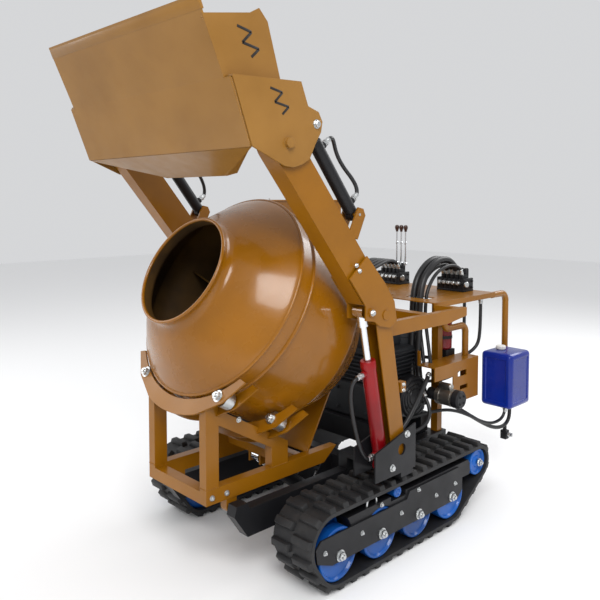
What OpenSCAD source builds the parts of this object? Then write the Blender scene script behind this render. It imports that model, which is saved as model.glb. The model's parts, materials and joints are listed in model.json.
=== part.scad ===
// Crawler concrete mixer: a tracked carrier with a tipping drum and a loading bucket.
// Frame: +X is the machine's left, -Y its front, +Z up.
// Origin: on the ground, midway between the tracks and midway along the machine.

/* [Tracks] */
// Distance from the middle of the machine to a track's outer edge
track_outer = 540; // [500:5:600]
// Width of one rubber track
track_w = 210; // [160:5:230]
// Height of a tread lug
lug_h = 20; // [10:1:30]
// Thickness of the rubber belt under the lugs
belt_t = 15; // [10:1:20]
// Radius of a road roller
roller_r = 104; // [80:1:108]
// Distance between road rollers
roller_pitch = 250; // [230:1:300]
// Distance along the belt between lugs
lug_pitch = 72; // [60:1:90]

/* [Drum] */
// Radius of the drum at its rings
drum_r = 436; // [380:1:438]
// Radius of the drum's mouth
mouth_r = 226; // [180:1:240]
// Length of the drum from rim to rear plate
drum_len = 850; // [780:5:900]
// Thickness of the drum's wall
drum_wall = 6; // [4:1:8]
// Lean of the drum's axis above level
drum_lean = 30; // [20:1:35]

/* [Cradle] */
// Distance from the middle of the machine to a cradle rail's outer side
cradle_outer = 200; // [180:1:215]
// Width of the cradle's square tube
rail_w = 42; // [30:1:50]
// Height of the cradle's rails
rail_h = 60; // [40:1:60]

/* [Boom] */
// Distance from the middle of the machine to the middle of a boom arm
arm_x = 500; // [498:1:506]
// Width of a boom arm's tube
arm_w = 78; // [60:1:80]
// Depth of a boom arm's tube
arm_d = 128; // [90:1:130]
// Length of the boom from its pivot to the bucket pin
boom_len = 842; // [830:1:860]
// Raised lean of the boom above level
boom_lean = 50.7; // [48:0.1:52]

/* [Bucket] */
// Half width of the bucket at its blade
bucket_half = 520; // [515:1:530]
// Half width of the bucket at its ears
ear_half = 556; // [553:1:565]
// Thickness of the bucket's plates
plate_t = 6; // [4:1:8]

/* [Hydraulics] */
// Radius of a lift cylinder's barrel
lift_r = 30; // [22:1:32]
// Radius of a lift cylinder's rod
lift_rod_r = 15; // [10:1:18]
// Radius of a tilt cylinder's barrel
tilt_r = 25; // [18:1:27]
// Radius of a tilt cylinder's rod
tilt_rod_r = 12.5; // [8:0.5:14]
// Radius of the tip cylinder's barrel
tip_r = 32; // [24:1:36]
// Radius of the tip cylinder's rod
tip_rod_r = 17; // [12:1:20]

/* [Superstructure] */
// Height of the control deck
deck_z = 1000; // [960:5:1040]
// Left edge of the control deck
deck_left = 350; // [320:5:380]
// Rear edge of the control deck
deck_rear = 950; // [930:5:990]
// Width of the fuel tank
tank_w = 180; // [140:5:190]
// Length of the fuel tank
tank_l = 210; // [160:5:220]
// Height of the fuel tank
tank_h = 290; // [240:5:300]

/* [Hidden] */
$fn = 48;
FIT = 0.05;      // radial running clearance of a pin in its bore
THIN = 8;        // thickness of brackets and lugs

// Track circles [y, z, radius at the belt's inner face], counter-clockwise from front bottom
road_z = lug_h + belt_t + roller_r + 3;
road_y = -476;
grip = lug_h + belt_t;
IDLER = [-512, 340 - grip - 108, 108];
SPROCKET = [505, 340 - grip - 66, 66];
HEEL = [road_y + 3 * roller_pitch + 26, grip + 30, 30];
TOE = [road_y, grip + roller_r + 3, roller_r + 3];
LOOP = [TOE, HEEL, SPROCKET, IDLER];

// Joint points [y, z]
TIP = [-733, 304.5];
BOOM = [-230, 1040];
LIFT_BASE = [-189, 408];
LIFT_EYE = BOOM + [-90, 19];
BOOM_U = [-cos(boom_lean), sin(boom_lean)];
BOOM_N = [-sin(boom_lean), -cos(boom_lean)];
// A point of the boom at distance s from its pivot and n below its middle line
function on_boom(s, n) = BOOM + s * BOOM_U + n * BOOM_N;
BUCKET = on_boom(boom_len, 0);
TILT_BASE = on_boom(boom_len - 438, -141);
TILT_EYE = BUCKET + [134.5, 73];
JACK_BASE = [-130, 130];
JACK_EYE = [-430, 372];
MOUTH = [-827, 1227];
RING_T = [222, 296];    // distances of the drum's two rings behind its rim
ring_r = drum_r + 8;
rail_in = cradle_outer - rail_w;
rail_base = 340;        // underside of the cradle's rails
rail_up = rail_base + rail_h;
SADDLE_T = [259, 560];  // distances of the two saddles behind the rim
WHEEL_A = 32;           // angle of the support rollers either side of straight down
wheel_r = 34;

// ---- shapes used by several pieces ----

// A plate in the YZ plane between two distances along X
module yz_plate(points, x0, x1) {
    translate([min(x0, x1), 0, 0]) rotate([90, 0, 90])
        linear_extrude(abs(x1 - x0)) polygon(points);
}

// A round bar along X
module x_bar(p, r, x0, x1) {
    translate([min(x0, x1), p[0], p[1]]) rotate([0, 90, 0]) cylinder(r = r, h = abs(x1 - x0));
}

// A box between two corners
module box(a, b) { translate(a) cube(b - a); }

// Children drawn on the left, or mirrored to the right
module on_side(s) { if (s > 0) children(); else mirror([1, 0, 0]) children(); }

// Turns children so that their +Z runs from point a to point b, both [y, z]
module along(a, b) {
    translate([0, a[0], a[1]]) rotate([atan2(-(b[0] - a[0]), b[1] - a[1]), 0, 0]) children();
}

function span(a, b) = norm(b - a);

// ---- tracks ----

// Outward direction of the straight run from circle i to the next
function run_angle(i) = let (a = LOOP[i], b = LOOP[(i + 1) % len(LOOP)],
    d = [b[0] - a[0], b[1] - a[1]]) atan2(d[1], d[0]) - acos((a[2] - b[2]) / norm(d));
function wrap(a) = a < 0 ? wrap(a + 360) : a >= 360 ? wrap(a - 360) : a;
// Belt pieces, as [circle, start angle, turn, arc length, run length]
LEGS = [for (i = [0:len(LOOP) - 1]) let (n = len(LOOP),
    from = run_angle((i + n - 1) % n), to = run_angle(i), turn = wrap(to - from),
    a = LOOP[i], b = LOOP[(i + 1) % n], d = norm([b[0] - a[0], b[1] - a[1]]))
    [a, from, turn, (a[2] + belt_t / 2) * turn * PI / 180, sqrt(pow(d, 2) - pow(a[2] - b[2], 2))]];
function leg_len(i) = LEGS[i][3] + LEGS[i][4];
function total(i = 0) = i == len(LEGS) ? 0 : leg_len(i) + total(i + 1);
// A point of the belt at distance s around it and height h above its inner face
function at(s, h, i = 0) = s > leg_len(i) && i < len(LEGS) - 1 ? at(s - leg_len(i), h, i + 1) :
    let (g = LEGS[i], c = [g[0][0], g[0][1]], onarc = s < g[3],
        a = g[1] + (onarc ? g[2] * s / g[3] : g[2]), e = [cos(a), sin(a)])
    c + (g[0][2] + h) * e + (onarc ? [0, 0] : (s - g[3]) * [-e[1], e[0]]);
lugs = round(total() / lug_pitch);
lug_step = total() / lugs;

module belt_row(x0, x1, shift) {
    base = lug_step * 0.52;
    top = lug_step * 0.34;
    outer = [for (k = [0:lugs - 1]) let (s = (k + shift) * lug_step) each [
        at(s, belt_t), at(s + (base - top) / 2, grip), at(s + (base + top) / 2, grip),
        at(s + base, belt_t), at(s + (base + lug_step) / 2, belt_t)]];
    inner = [for (k = [0:119]) at(k * total() / 120, 0)];
    translate([x0, 0, 0]) rotate([90, 0, 90]) linear_extrude(x1 - x0)
        difference() { polygon(outer); polygon(inner); }
}

module track() {
    mid = track_outer - track_w / 2;
    belt_row(track_outer - track_w, mid, 0);
    belt_row(mid, track_outer, 0.47);
}
module track_left() { color("#1d1d1f") track(); }
module track_right() { color("#1d1d1f") on_side(-1) track(); }

plate_x = track_outer - 12;
frame_x = track_outer - track_w + 14;
module track_frame() {
    yz_plate([[-608, 205], [-580, 232], [-60, 232], [-40, 262], [330, 262], [360, 240],
        [360, 150], [320, 118], [-520, 118], [-600, 150]], plate_x, plate_x + THIN);
    yz_plate([[-560, 232], [-530, 268], [420, 272], [450, 235], [430, 200], [-560, 200]],
        frame_x, plate_x);
    yz_plate([[-608, 205], [-580, 232], [360, 240], [360, 150], [320, 118], [-520, 118],
        [-600, 150]], frame_x, frame_x + THIN);
}
module track_frame_left() { color("#17171a") track_frame_cut(); }
module track_frame_right() { color("#17171a") on_side(-1) track_frame_cut(); }
module track_frame_cut() {
    difference() {
        track_frame();
        for (k = [0:3])
            x_bar([road_y + k * roller_pitch, road_z], roller_r + 3, frame_x + THIN, plate_x);
        x_bar([SPROCKET[0], SPROCKET[1]], SPROCKET[2] + 3, frame_x + THIN, plate_x);
        x_bar([IDLER[0], IDLER[1]], IDLER[2] + 3, frame_x + THIN, plate_x);
        box([frame_x + THIN, -160, 250], [plate_x + 1, -60, 300]);
    }
}

// One double wheel with the hub between its two discs
module track_wheel(y, z, r, hub = 30) {
    x_bar([y, z], r, frame_x + THIN + 1, frame_x + 62);
    if (hub > 0) x_bar([y, z], hub, frame_x + 62, plate_x - 51);
    x_bar([y, z], r, plate_x - 51, plate_x - 1);
}
// The front road roller's discs stand either side of the idler
module track_rollers() {
    track_wheel(road_y, road_z, roller_r, 0);
    for (k = [1:3]) track_wheel(road_y + k * roller_pitch, road_z, roller_r);
    x_bar([IDLER[0], IDLER[1]], IDLER[2] - 3, frame_x + 68, plate_x - 57);
    track_wheel(-110, 276, 24, 16);
    x_bar([SPROCKET[0], SPROCKET[1]], SPROCKET[2] - 3, frame_x + THIN + 1, plate_x - 1);
}
module track_rollers_left() { color("#1457a6") track_rollers(); }
module track_rollers_right() { color("#1457a6") on_side(-1) track_rollers(); }

// ---- chassis, masts and superstructure ----

beam_in = 205;
beam_out = 255;
module chassis_frame() {
    color("#1b1b1d") difference() {
        union() {
            for (s = [1, -1]) on_side(s) {
                box([beam_in, -700, 190], [beam_out, 640, 300]);
                yz_plate([[-700, 190], [-765, 285], [-755, 325], [-700, 325], [-690, 300]],
                    beam_in, beam_out);
                for (y = [-420, 180]) box([beam_out, y, 170], [frame_x, y + 90, 230]);
            }
            for (y = [-20, 560]) box([-beam_in, y, 200], [beam_in, y + 60, 290]);
            for (s = [1, -1]) on_side(s)
                yz_plate([[-190, 60], [-60, 60], [-20, 210], [-20, 280], [-70, 280], [-175, 150]],
                    48, 48 + THIN);
            box([-56, -40, 215], [56, -19, 270]);
            box([-40, 619, 240], [40, 690, 256]);
        }
        for (s = [1, -1]) on_side(s) {
            x_bar(TIP, 12, beam_in - 1, beam_out + 1);
            x_bar(JACK_BASE, 15, 47, 57);
        }
        translate([0, 660, 239]) cylinder(r = 13, h = 18);
    }
    color("#c8c8cc") for (s = [1, -1]) on_side(s)
        x_bar(TIP, 12, rail_in - 8, beam_out);
    color("#c8c8cc") x_bar(JACK_BASE, 15, -60, 60);
}

// Black pair of plates that carries a mast over the track, on an arm from the chassis
bracket_out = arm_x + 56;
bracket_in = arm_x - 62;
module mast_bracket() {
    difference() {
        union() {
            for (x = [bracket_in, bracket_out - THIN])
                yz_plate([[-294, 372], [-32, 372], [-32, 560], [-294, 490]], x, x + THIN);
            box([beam_in, -130, 352], [bracket_out, -50, 373]);
            box([beam_in, -130, 300], [beam_out, -50, 352]);
        }
        translate([bracket_in - 1, -125, 470]) rotate([0, 90, 0])
            cylinder(r = 24, h = 120 + THIN);
    }
    x_bar(LIFT_BASE, 15, bracket_in + THIN, bracket_out - THIN);
}
module mast_bracket_left() { color("#1b1b1d") mast_bracket(); }
module mast_bracket_right() { color("#1b1b1d") on_side(-1) mast_bracket(); }

// Channel that leans forward: the lift cylinder stands in its open front
mast_in = arm_x - 38;
mast_out = arm_x + 38;
mast_lean = 10.5;
mast_foot = [-62, 376];
mast_top = 1076;
// The line of the mast's back at height z
function mast_back(z) = mast_foot[0] - (z - mast_foot[1]) * tan(mast_lean);
module mast() {
    depth = 86;
    wall = 6;
    head = mast_back(mast_top);
    difference() {
        yz_plate([mast_foot, [head, mast_top], [head - 60, mast_top + 12], [head - depth, mast_top - 26],
            [mast_foot[0] - depth, mast_foot[1]]], mast_in, mast_out);
        yz_plate([[mast_back(300) - wall, 300], [mast_back(1000) - wall, 1000],
            [mast_back(1000) - depth - 60, 1000], [mast_back(300) - depth - 60, 300]],
            mast_in + wall, mast_out - wall);
        box([mast_in + wall, BOOM[0] - 128, 990], [mast_out - wall, BOOM[0] - 28, 1070]);
        x_bar(BOOM, 20, mast_in - 1, mast_out + 1);
        x_bar(LIFT_EYE, 36, mast_in - 1, mast_out + 1);
    }
    x_bar(BOOM, 20, mast_in - 16, mast_out + 18);
    box([mast_out - 30, -112, 700], [mast_out, -78, 742]);
}
module mast_left() { color("#b07a1e") mast(); }
module mast_right() { color("#b07a1e") on_side(-1) mast(); }

// Rails from the mast heads back under the deck, with two cross tubes and legs
deck_front = 390;
deck_right = deck_left + 60;
rail_z = deck_z - 10;
rail_foot = min(rail_z, mast_top) - 60;
leg_out = beam_in + 40;
module deck_frame() {
    color("#a8711a") {
        for (s = [1, -1]) on_side(s) {
            yz_plate([[mast_back(rail_z), rail_z], [mast_back(rail_foot), rail_foot],
                [300, rail_z - 60], [deck_front + 60, rail_z - 40], [deck_front + 60, rail_z]],
                mast_in, mast_in + 30);
        }
        box([deck_left, deck_front, rail_z - 35], [mast_in, deck_front + 40, rail_z]);
        box([-mast_in, deck_front, rail_z - 35], [-deck_right, deck_front + 40, rail_z]);
        box([-mast_in, 130, rail_z - 45], [mast_in, 180, rail_z]);
        for (s = [1, -1]) on_side(s)
            box([beam_in, 575, 300], [leg_out, 615, deck_z - 5]);
    }
}

module control_deck() {
    lip = 26;
    color("#bd8420") difference() {
        box([-deck_right, deck_front, deck_z - lip], [deck_left, deck_rear, deck_z]);
        box([4 - deck_right, deck_front - 1, deck_z - lip - 1],
            [deck_left - 4, deck_rear - 4, deck_z - 5]);
        box([110, 470, deck_z - 30], [250, 545, deck_z + 1]);
        box([-30, 450, deck_z - 30], [40, 480, deck_z + 1]);
    }
}

// Shelf and slotted side panel under the deck
shelf_z = 680;
module lower_panel() {
    color("#b57c1d") difference() {
        union() {
            box([leg_out, 400, shelf_z - 6], [deck_left, 790, shelf_z]);
            box([deck_left - 6, 400, shelf_z - 70], [deck_left, 790, shelf_z]);
            box([deck_left - 6, 560, 470], [deck_left, 790, shelf_z]);
            box([leg_out, 400, shelf_z], [deck_left - 90, 406, shelf_z + 70]);
        }
        box([deck_left - 10, 600, 600], [deck_left + 10, 680, 628]);
        box([deck_left - 10, 620, 530], [deck_left + 10, 690, 552]);
    }
    color("#b57c1d") box([leg_out, 560, 470], [deck_left - 6, 790, 478]);
    color("#b57c1d") box([leg_out, 782, 478], [deck_left - 6, 790, shelf_z - 6]);
}

// A bent tube in the YZ plane through [y, z] corners, with round bends
module bent_tube(x, pts, r, bend) {
    for (i = [0:len(pts) - 2]) {
        a = pts[i];
        b = pts[i + 1];
        u = (b - a) / span(a, b);
        cut_a = i == 0 ? 0 : bend - 1;
        cut_b = i == len(pts) - 2 ? 0 : bend - 1;
        translate([x, 0, 0]) along(a + u * cut_a, b - u * cut_b)
            cylinder(r = r, h = span(a, b) - cut_a - cut_b);
    }
    for (i = [1:len(pts) - 2]) bend_at(x, pts[i - 1], pts[i], pts[i + 1], r, bend);
}
// A quarter bend between two square runs
module bend_at(x, a, b, c, r, bend) {
    u = (a - b) / span(a, b);
    v = (c - b) / span(b, c);
    o = b + (u + v) * bend;
    start = atan2(-u[1], -u[0]);
    other = atan2(-v[1], -v[0]);
    first = abs(wrap(other - start) - 90) < 1 ? start : other;
    translate([x, o[0], o[1]]) rotate([90, 0, 90]) rotate([0, 0, first])
        rotate_extrude(angle = 90) translate([bend, 0]) circle(r = r + 0.5);
}

tube_r = 17;
tube_x = deck_left - tube_r - 5;
tank_mid_y = 975;
tank_top = 690;
rear_y = 1098;
module guard_tubes() {
    color("#b9811f") {
        bent_tube(tube_x, [[deck_rear, deck_z - 18], [rear_y, deck_z - 18], [rear_y, 560]],
            tube_r, 45);
        bent_tube(tube_x - 40, [[560, deck_z - 27], [560, 840], [760, 840], [760, shelf_z + 1]],
            tube_r, 40);
    }
}

module engine() {
    color("#222326") {
        box([-240, 200, 400], [190, 560, 760]);
        box([-200, 240, 760], [100, 480, 860]);
    }
}
module engine_mount() {
    color("#1b1b1d") {
        box([-beam_out, 170, 300], [beam_in - 8, 230, 399]);
        box([-beam_out, 500, 300], [beam_in - 8, 558, 399]);
        box([-240, 170, 391], [190, 199, 399]);
    }
}
module belt_cover() {
    color("#151517") {
        x_bar([380, 520], 105, 196, 250);
        x_bar([380, 520], 60, 191, 196);
    }
}
module muffler() {
    color("#8d8d90") x_bar([500, 520], 45, 300, 440);
    color("#17171a") x_bar([500, 520], 30, 250, 300);
}

module fuel_tank() {
    x0 = tube_x - 13;
    y0 = tank_mid_y - tank_l / 2;
    corner = 22;
    color("#1b2f86") translate([x0, y0, tank_top - tank_h]) linear_extrude(tank_h)
        union() {
            translate([corner, 0]) square([tank_w - 2 * corner, tank_l]);
            translate([0, corner]) square([tank_w, tank_l - 2 * corner]);
            for (x = [corner, tank_w - corner], y = [corner, tank_l - corner])
                translate([x, y]) circle(r = corner);
        }
    color("#e8e8e8") translate([x0 + 60, tank_mid_y, tank_top]) cylinder(r = 26, h = 22);
}

module fire_extinguisher() {
    color("#b3121c") translate([200, 690, shelf_z + 40]) cylinder(r = 44, h = 170);
    color("#b3121c") translate([200, 690, shelf_z + 210]) cylinder(r1 = 44, r2 = 18, h = 30);
    color("#b3121c") box([190, 650, shelf_z - 6], [245, 730, shelf_z + 40]);
}

oil_z = [1320, 1490];
module hydraulic_tank() {
    color("#bd8420") box([-500, 60, oil_z[0]], [-210, 330, oil_z[1]]);
    color("#a8711a") box([-505, 55, oil_z[1]], [-205, 335, oil_z[1] + 8]);
    color("#bd8420") translate([-250, 110, oil_z[1] + 8]) cylinder(r = 22, h = 26);
}
module tank_stand() {
    color("#1b1b1d") for (y = [140, 290]) {
        box([-495, y, rail_z], [-215, y + 30, rail_z + 14]);
        for (x = [-495, -245]) box([x, y, rail_z + 13], [x + 30, y + 30, oil_z[0]]);
    }
}

module valve_bank(x, y) {
    color("#1d1d20") {
        box([x - 90, y - 55, deck_z], [x + 90, y + 55, deck_z + 62]);
        box([x - 75, y - 40, deck_z + 62], [x + 75, y + 40, deck_z + 110]);
        for (k = [-2:2]) translate([x + k * 32, y - 10, deck_z + 110]) cylinder(r = 12, h = 26);
    }
}
VALVES = [[150, 868], [-290, 880]];
module valve_bank_left() { valve_bank(VALVES[0][0], VALVES[0][1]); }
module valve_bank_right() { valve_bank(VALVES[1][0], VALVES[1][1]); }

lever_z = 200;
module control_levers() {
    for (k = [0:2]) translate([VALVES[1][0] + 8 + k * 32, VALVES[1][1] + 24, deck_z + 110]) {
        color("#c9c9cc") cylinder(r = 6, h = lever_z);
        color("#3a2418") translate([0, 0, lever_z]) cylinder(r = 13, h = 38);
    }
}

// Two thick hoses from the near valve bank over and down through the deck's slot
module deck_hoses() {
    color("#111113") for (x = [135, 175]) {
        y1 = 799;
        y0 = 505;
        r = (y1 - y0) / 2;
        translate([x, (y0 + y1) / 2, deck_z + 20]) rotate([90, 0, 90])
            rotate_extrude(angle = 180) translate([r, 0]) circle(r = 13);
        translate([x, y0, 765]) cylinder(r = 13, h = deck_z + 20 - 765);
        translate([x, y1, deck_z + 1]) cylinder(r = 13, h = 19);
    }
}

// ---- drum and its cradle ----

front_y = -857;
post_back = front_y + 60;
rail_end = -437;
window_end = -527;
rail_top = 700;
// Drum's own frame: +Z runs in from the rim along the axis, +Y down and forward
module drum_frame() { translate([0, MOUTH[0], MOUTH[1]]) rotate([-90 - drum_lean, 0, 0]) children(); }
PLATE_T = drum_len + 16;  // distance of the rear bearing plate behind the rim
shaft_r = 30;

// One side of the cradle: level rail, front post, sloping rail and short post
module cradle_side(grow = 0) {
    fall = tan(30);
    yz_plate([[front_y, rail_base], [-220, rail_base], [-140, rail_up], [rail_end, rail_up],
        [rail_end, rail_top + (post_back - rail_end) * fall], [post_back, rail_top],
        [post_back, rail_top + 16], [front_y, rail_top + 16]],
        rail_in - grow, cradle_outer + grow);
}
module cradle_window() {
    fall = tan(30);
    yz_plate([[post_back, rail_up], [window_end, rail_up],
        [window_end, rail_top - rail_h + (post_back - window_end) * fall],
        [post_back, rail_top - rail_h]], rail_in - 1, cradle_outer + 1);
}

module cradle_frame() {
    color("#b5791c") {
        for (s = [1, -1]) on_side(s) {
            difference() { cradle_side(); cradle_window(); }
            difference() {
                union() {
                    x_bar(TIP, 25, rail_in, cradle_outer - 4);
                    box([rail_in, TIP[0] - 25, TIP[1]], [cradle_outer - 4, TIP[0] + 25, rail_base + 1]);
                }
                x_bar(TIP, 12 + FIT, rail_in - 1, cradle_outer + 1);
            }
            box([30, -452, 346], [40, -408, rail_up + 1]);
        }
        box([-rail_in, front_y, rail_base], [rail_in, front_y + 50, 388]);
        box([-rail_in, -330, 342], [rail_in, -290, 382]);
        box([-rail_in, -472, rail_up], [rail_in, rail_end, rail_up + 36]);
        box([-rail_in, -800, 655], [rail_in, -770, 690]);
        difference() {
            drum_frame() difference() {
                translate([-rail_in - 20, -90, PLATE_T]) cube([2 * rail_in + 40, 560, THIN]);
                translate([0, 0, PLATE_T - 1]) cylinder(r = shaft_r + FIT, h = THIN + 2);
            }
            box([-300, -700, 200], [300, 0, 400]);
        }
    }
}

saddle_in = drum_r + 18;
saddle_foot = 516;      // distance of the saddles' feet from the drum's axis
axle_at = drum_r + wheel_r + 1;
// A pair of curved plates square to the drum's axis, with wing tips beside the support rollers
module saddle(t, axle) {
    tip = WHEEL_A + 14;
    low = 9;
    difference() {
        drum_frame() for (off = [-34, 34]) translate([0, 0, t + off])
            linear_extrude(THIN, center = true) difference() {
                polygon(concat(
                    [for (k = [-12:12]) saddle_in * [sin(k * tip / 12), cos(k * tip / 12)]],
                    [(saddle_in + 30) * [sin(tip + 2), cos(tip + 2)],
                     (saddle_in + 50) * [sin(tip - 12), cos(tip - 12)]],
                    [for (k = [low:-1:-low]) saddle_foot * [sin(k * 2), cos(k * 2)]],
                    [(saddle_in + 50) * [-sin(tip - 12), cos(tip - 12)],
                     (saddle_in + 30) * [-sin(tip + 2), cos(tip + 2)]]));
            }
        for (s = [1, -1]) on_side(s) cradle_side(0.3);
        box([-rail_in - 1, -801, 654], [rail_in + 1, -769, 691]);
    }
    drum_frame() for (s = [1, -1])
        translate([s * axle * sin(WHEEL_A), axle * cos(WHEEL_A), t - 34])
            cylinder(r = 10, h = 68);
}
module front_saddle() { color("#b88020") saddle(SADDLE_T[0], axle_at); }
module rear_saddle() { color("#b88020") saddle(SADDLE_T[1], axle_at - 8); }

module drum_roller(t, axle, s) {
    color("#d8d8d8") drum_frame()
        translate([s * axle * sin(WHEEL_A), axle * cos(WHEEL_A), t - 22]) difference() {
            cylinder(r = wheel_r, h = 44);
            translate([0, 0, -1]) cylinder(r = 10 + FIT, h = 46);
        }
}
module drum_roller_front_left() { drum_roller(SADDLE_T[0], axle_at, 1); }
module drum_roller_front_right() { drum_roller(SADDLE_T[0], axle_at, -1); }
module drum_roller_rear_left() { drum_roller(SADDLE_T[1], axle_at - 8, 1); }
module drum_roller_rear_right() { drum_roller(SADDLE_T[1], axle_at - 8, -1); }

module drum_drive() {
    color("#2a2a2d") drum_frame() translate([0, 0, PLATE_T + THIN]) {
        difference() {
            cylinder(r = 92, h = 60);
            translate([0, 0, -1]) cylinder(r = shaft_r + 4, h = 12);
        }
        translate([0, 0, 60]) cylinder(r = 52, h = 66);
    }
}

// Outline of the drum's outer face, as [radius, distance behind the rim]
back_r = 257;
body_r = drum_r - 8;
DRUM_OUT = [[mouth_r, 0], [mouth_r, 38], [mouth_r + 12, 58], [mouth_r + 52, 82],
    [mouth_r + 104, 118], [mouth_r + 156, 164], [drum_r - 14, 202], [drum_r, 218],
    [drum_r, 306], [body_r, 312], [body_r, 610], [body_r - 30, 650],
    [back_r + 20, drum_len - 22], [back_r, drum_len]];
module drum_shell() {
    color("#b57a1c") drum_frame() {
        rotate_extrude($fn = 96) difference() {
            polygon(concat(DRUM_OUT, [[0, drum_len], [0, 0]]));
            drum_hollow();
        }
        difference() {
            translate([0, 0, -2]) cylinder(r = mouth_r + 6, h = 10);
            translate([0, 0, -3]) cylinder(r = mouth_r - 3, h = 12);
        }
        for (t = RING_T) difference() {
            translate([0, 0, t - 4]) cylinder(r = ring_r, h = 8);
            translate([0, 0, t - 5]) cylinder(r = drum_r - 3, h = 10);
        }
        translate([0, 0, drum_len]) cylinder(r = shaft_r, h = PLATE_T + THIN - drum_len);
    }
}
// The drum's hollow in the same half plane
module drum_hollow() {
    n = len(DRUM_OUT);
    polygon(concat([[0, -10], [DRUM_OUT[0][0] - drum_wall, -10]],
        [for (i = [0:n - 3]) [DRUM_OUT[i][0] - drum_wall, DRUM_OUT[i][1] + (i > 1 && i < 8 ? 3 : 0)]],
        [[DRUM_OUT[n - 2][0] - drum_wall - 4, drum_len - 22], [0, drum_len - 22]]));
}
blade_out = body_r - drum_wall;
module drum_paddles() {
    color("#5a3a20") drum_frame() for (k = [0:2]) rotate([0, 0, 75 + k * 120])
        rotate_extrude(angle = 1.2)
            polygon([[blade_out - 170, 330], [blade_out, 330], [blade_out, 600], [blade_out - 110, 600]]);
}

// ---- boom, bucket and cylinders ----

cheek_out = arm_x + 45;
cheek_in = arm_x - 48;
arm_half = arm_w / 2;
lug_half = arm_half;    // half width over the two lugs of a tilt cylinder
module boom_arm() {
    difference() {
        union() {
            yz_plate([on_boom(118, arm_d / 2), on_boom(118, -arm_d / 2),
                on_boom(boom_len, -arm_d / 2), on_boom(boom_len, arm_d / 2)],
                arm_x - arm_half, arm_x + arm_half);
            x_bar(BUCKET, arm_d / 2, arm_x - arm_half, arm_x + arm_half);
            for (x = [cheek_in, cheek_out])
                yz_plate([[-160, 1010], [-176, 1090], [-235, 1168], on_boom(260, -arm_d / 2),
                    on_boom(260, arm_d / 2), on_boom(130, arm_d / 2), [-352, 1085], [-352, 1030],
                    [-300, 1022], [-270, 1000], [-200, 985]], x, x + THIN - 1);
            for (x = [arm_x - lug_half, arm_x + lug_half - THIN])
                yz_plate([TILT_BASE + [-60, -75], TILT_BASE + [-10, -95], TILT_BASE + [34, -4],
                    TILT_BASE + [22, 22], TILT_BASE + [-6, 28]], x, x + THIN);
        }
        x_bar(BOOM, 20 + FIT, cheek_in - 1, cheek_out + THIN + 1);
        x_bar(BUCKET, 17.5 + FIT, arm_x - 80, arm_x + 80);
        x_bar(LIFT_EYE, 12, cheek_in - 1, cheek_in);
    }
    x_bar(TILT_BASE, 12, arm_x - lug_half, arm_x + lug_half);
    x_bar(LIFT_EYE, 18, cheek_out + THIN - 1, cheek_out + THIN + 6);
}
module boom_arm_left() { color("#b07318") boom_arm(); }
module boom_arm_right() { color("#b07318") on_side(-1) boom_arm(); }

// The bucket's corners, measured from its pin
FLOOR_LOW = BUCKET + [-163.7, -21.6];
STEP = BUCKET + [-245.7, 193.4];
FLOOR_TOP = BUCKET + [-351.7, 433.4];
SPOUT = [BUCKET + [11.3, -99.6], BUCKET + [63.3, -87.6]];
REAR = BUCKET + [0.3, 201.4];
spout_half = 200;
// A flat trapezoid from line a to line b, [y, z], with a half width at each
module panel(a, b, half_a, half_b) {
    translate([0, a[0], a[1]]) rotate([atan2(b[1] - a[1], b[0] - a[0]), 0, 0])
        linear_extrude(plate_t) polygon([[-half_a, 0], [half_a, 0],
            [half_b, span(a, b)], [-half_b, span(a, b)]]);
}
// A slanted three-cornered plate
module corner_plate(points) {
    hull() for (p = points) translate(p) cube(plate_t, center = true);
}
floor_in = [cos(22.5), sin(22.5)] * plate_t;
ear_in = ear_half - plate_t - 0.5;
module bucket_shell() {
    top_corner = [bucket_half - 4, STEP[0] + 12, STEP[1] + 3];
    rear_corner = [bucket_half - 4, REAR[0], REAR[1]];
    heel_corner = [ear_in - 4, FLOOR_LOW[0] + 6, FLOOR_LOW[1] + 4];
    lip_front = [spout_half - 3, SPOUT[0][0], SPOUT[0][1]];
    lip_rear = [spout_half - 3, SPOUT[1][0] - 4, SPOUT[1][1]];
    color("#b98226") {
        yz_plate([FLOOR_LOW, STEP, FLOOR_TOP, FLOOR_TOP + floor_in, STEP + floor_in,
            FLOOR_LOW + floor_in], -bucket_half, bucket_half);
        for (s = [1, -1]) on_side(s)
            yz_plate([FLOOR_LOW, STEP, STEP + floor_in, FLOOR_LOW + floor_in], bucket_half - 1, ear_in);
        panel(FLOOR_LOW + [4, -1], SPOUT[0] + [0, -3], ear_in, spout_half);
        panel(SPOUT[1] + [0, -3], REAR + [0, 3], spout_half, bucket_half);
        for (s = [1, -1]) on_side(s) {
            corner_plate([top_corner, rear_corner, lip_rear]);
            corner_plate([top_corner, lip_rear, lip_front]);
            corner_plate([top_corner, heel_corner, lip_front]);
            yz_plate([STEP + [2, -6], FLOOR_TOP + [26, -52], BUCKET + [-136.7, 416.4],
                BUCKET + [-97.7, 438.4], BUCKET + [-60.7, 400.4], REAR + [2, -6]],
                bucket_half - plate_t, bucket_half);
        }
    }
}
EAR = [for (p = [[-238, 196], [63, 207], [94, 132], [146, 116], [165, 83], [158, 46], [133, 8],
    [101, -52], [63, -72], [26, -82], [-16, -79], [-158, -20]]) BUCKET + p];
module bucket_ears() {
    for (s = [1, -1]) on_side(s) {
        color("#b0751a") {
            yz_plate(EAR, ear_half - plate_t, ear_half);
            yz_plate([EAR[0], EAR[0] + [-1, 6], EAR[1] + [-2, 6], EAR[1]], bucket_half, ear_half);
        }
        color("#c9c9cc") x_bar(BUCKET, 17.5, arm_x - arm_half - 10, ear_half - plate_t);
        color("#c9c9cc") x_bar(BUCKET, 18, ear_half, ear_half + 14);
    }
}

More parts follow.
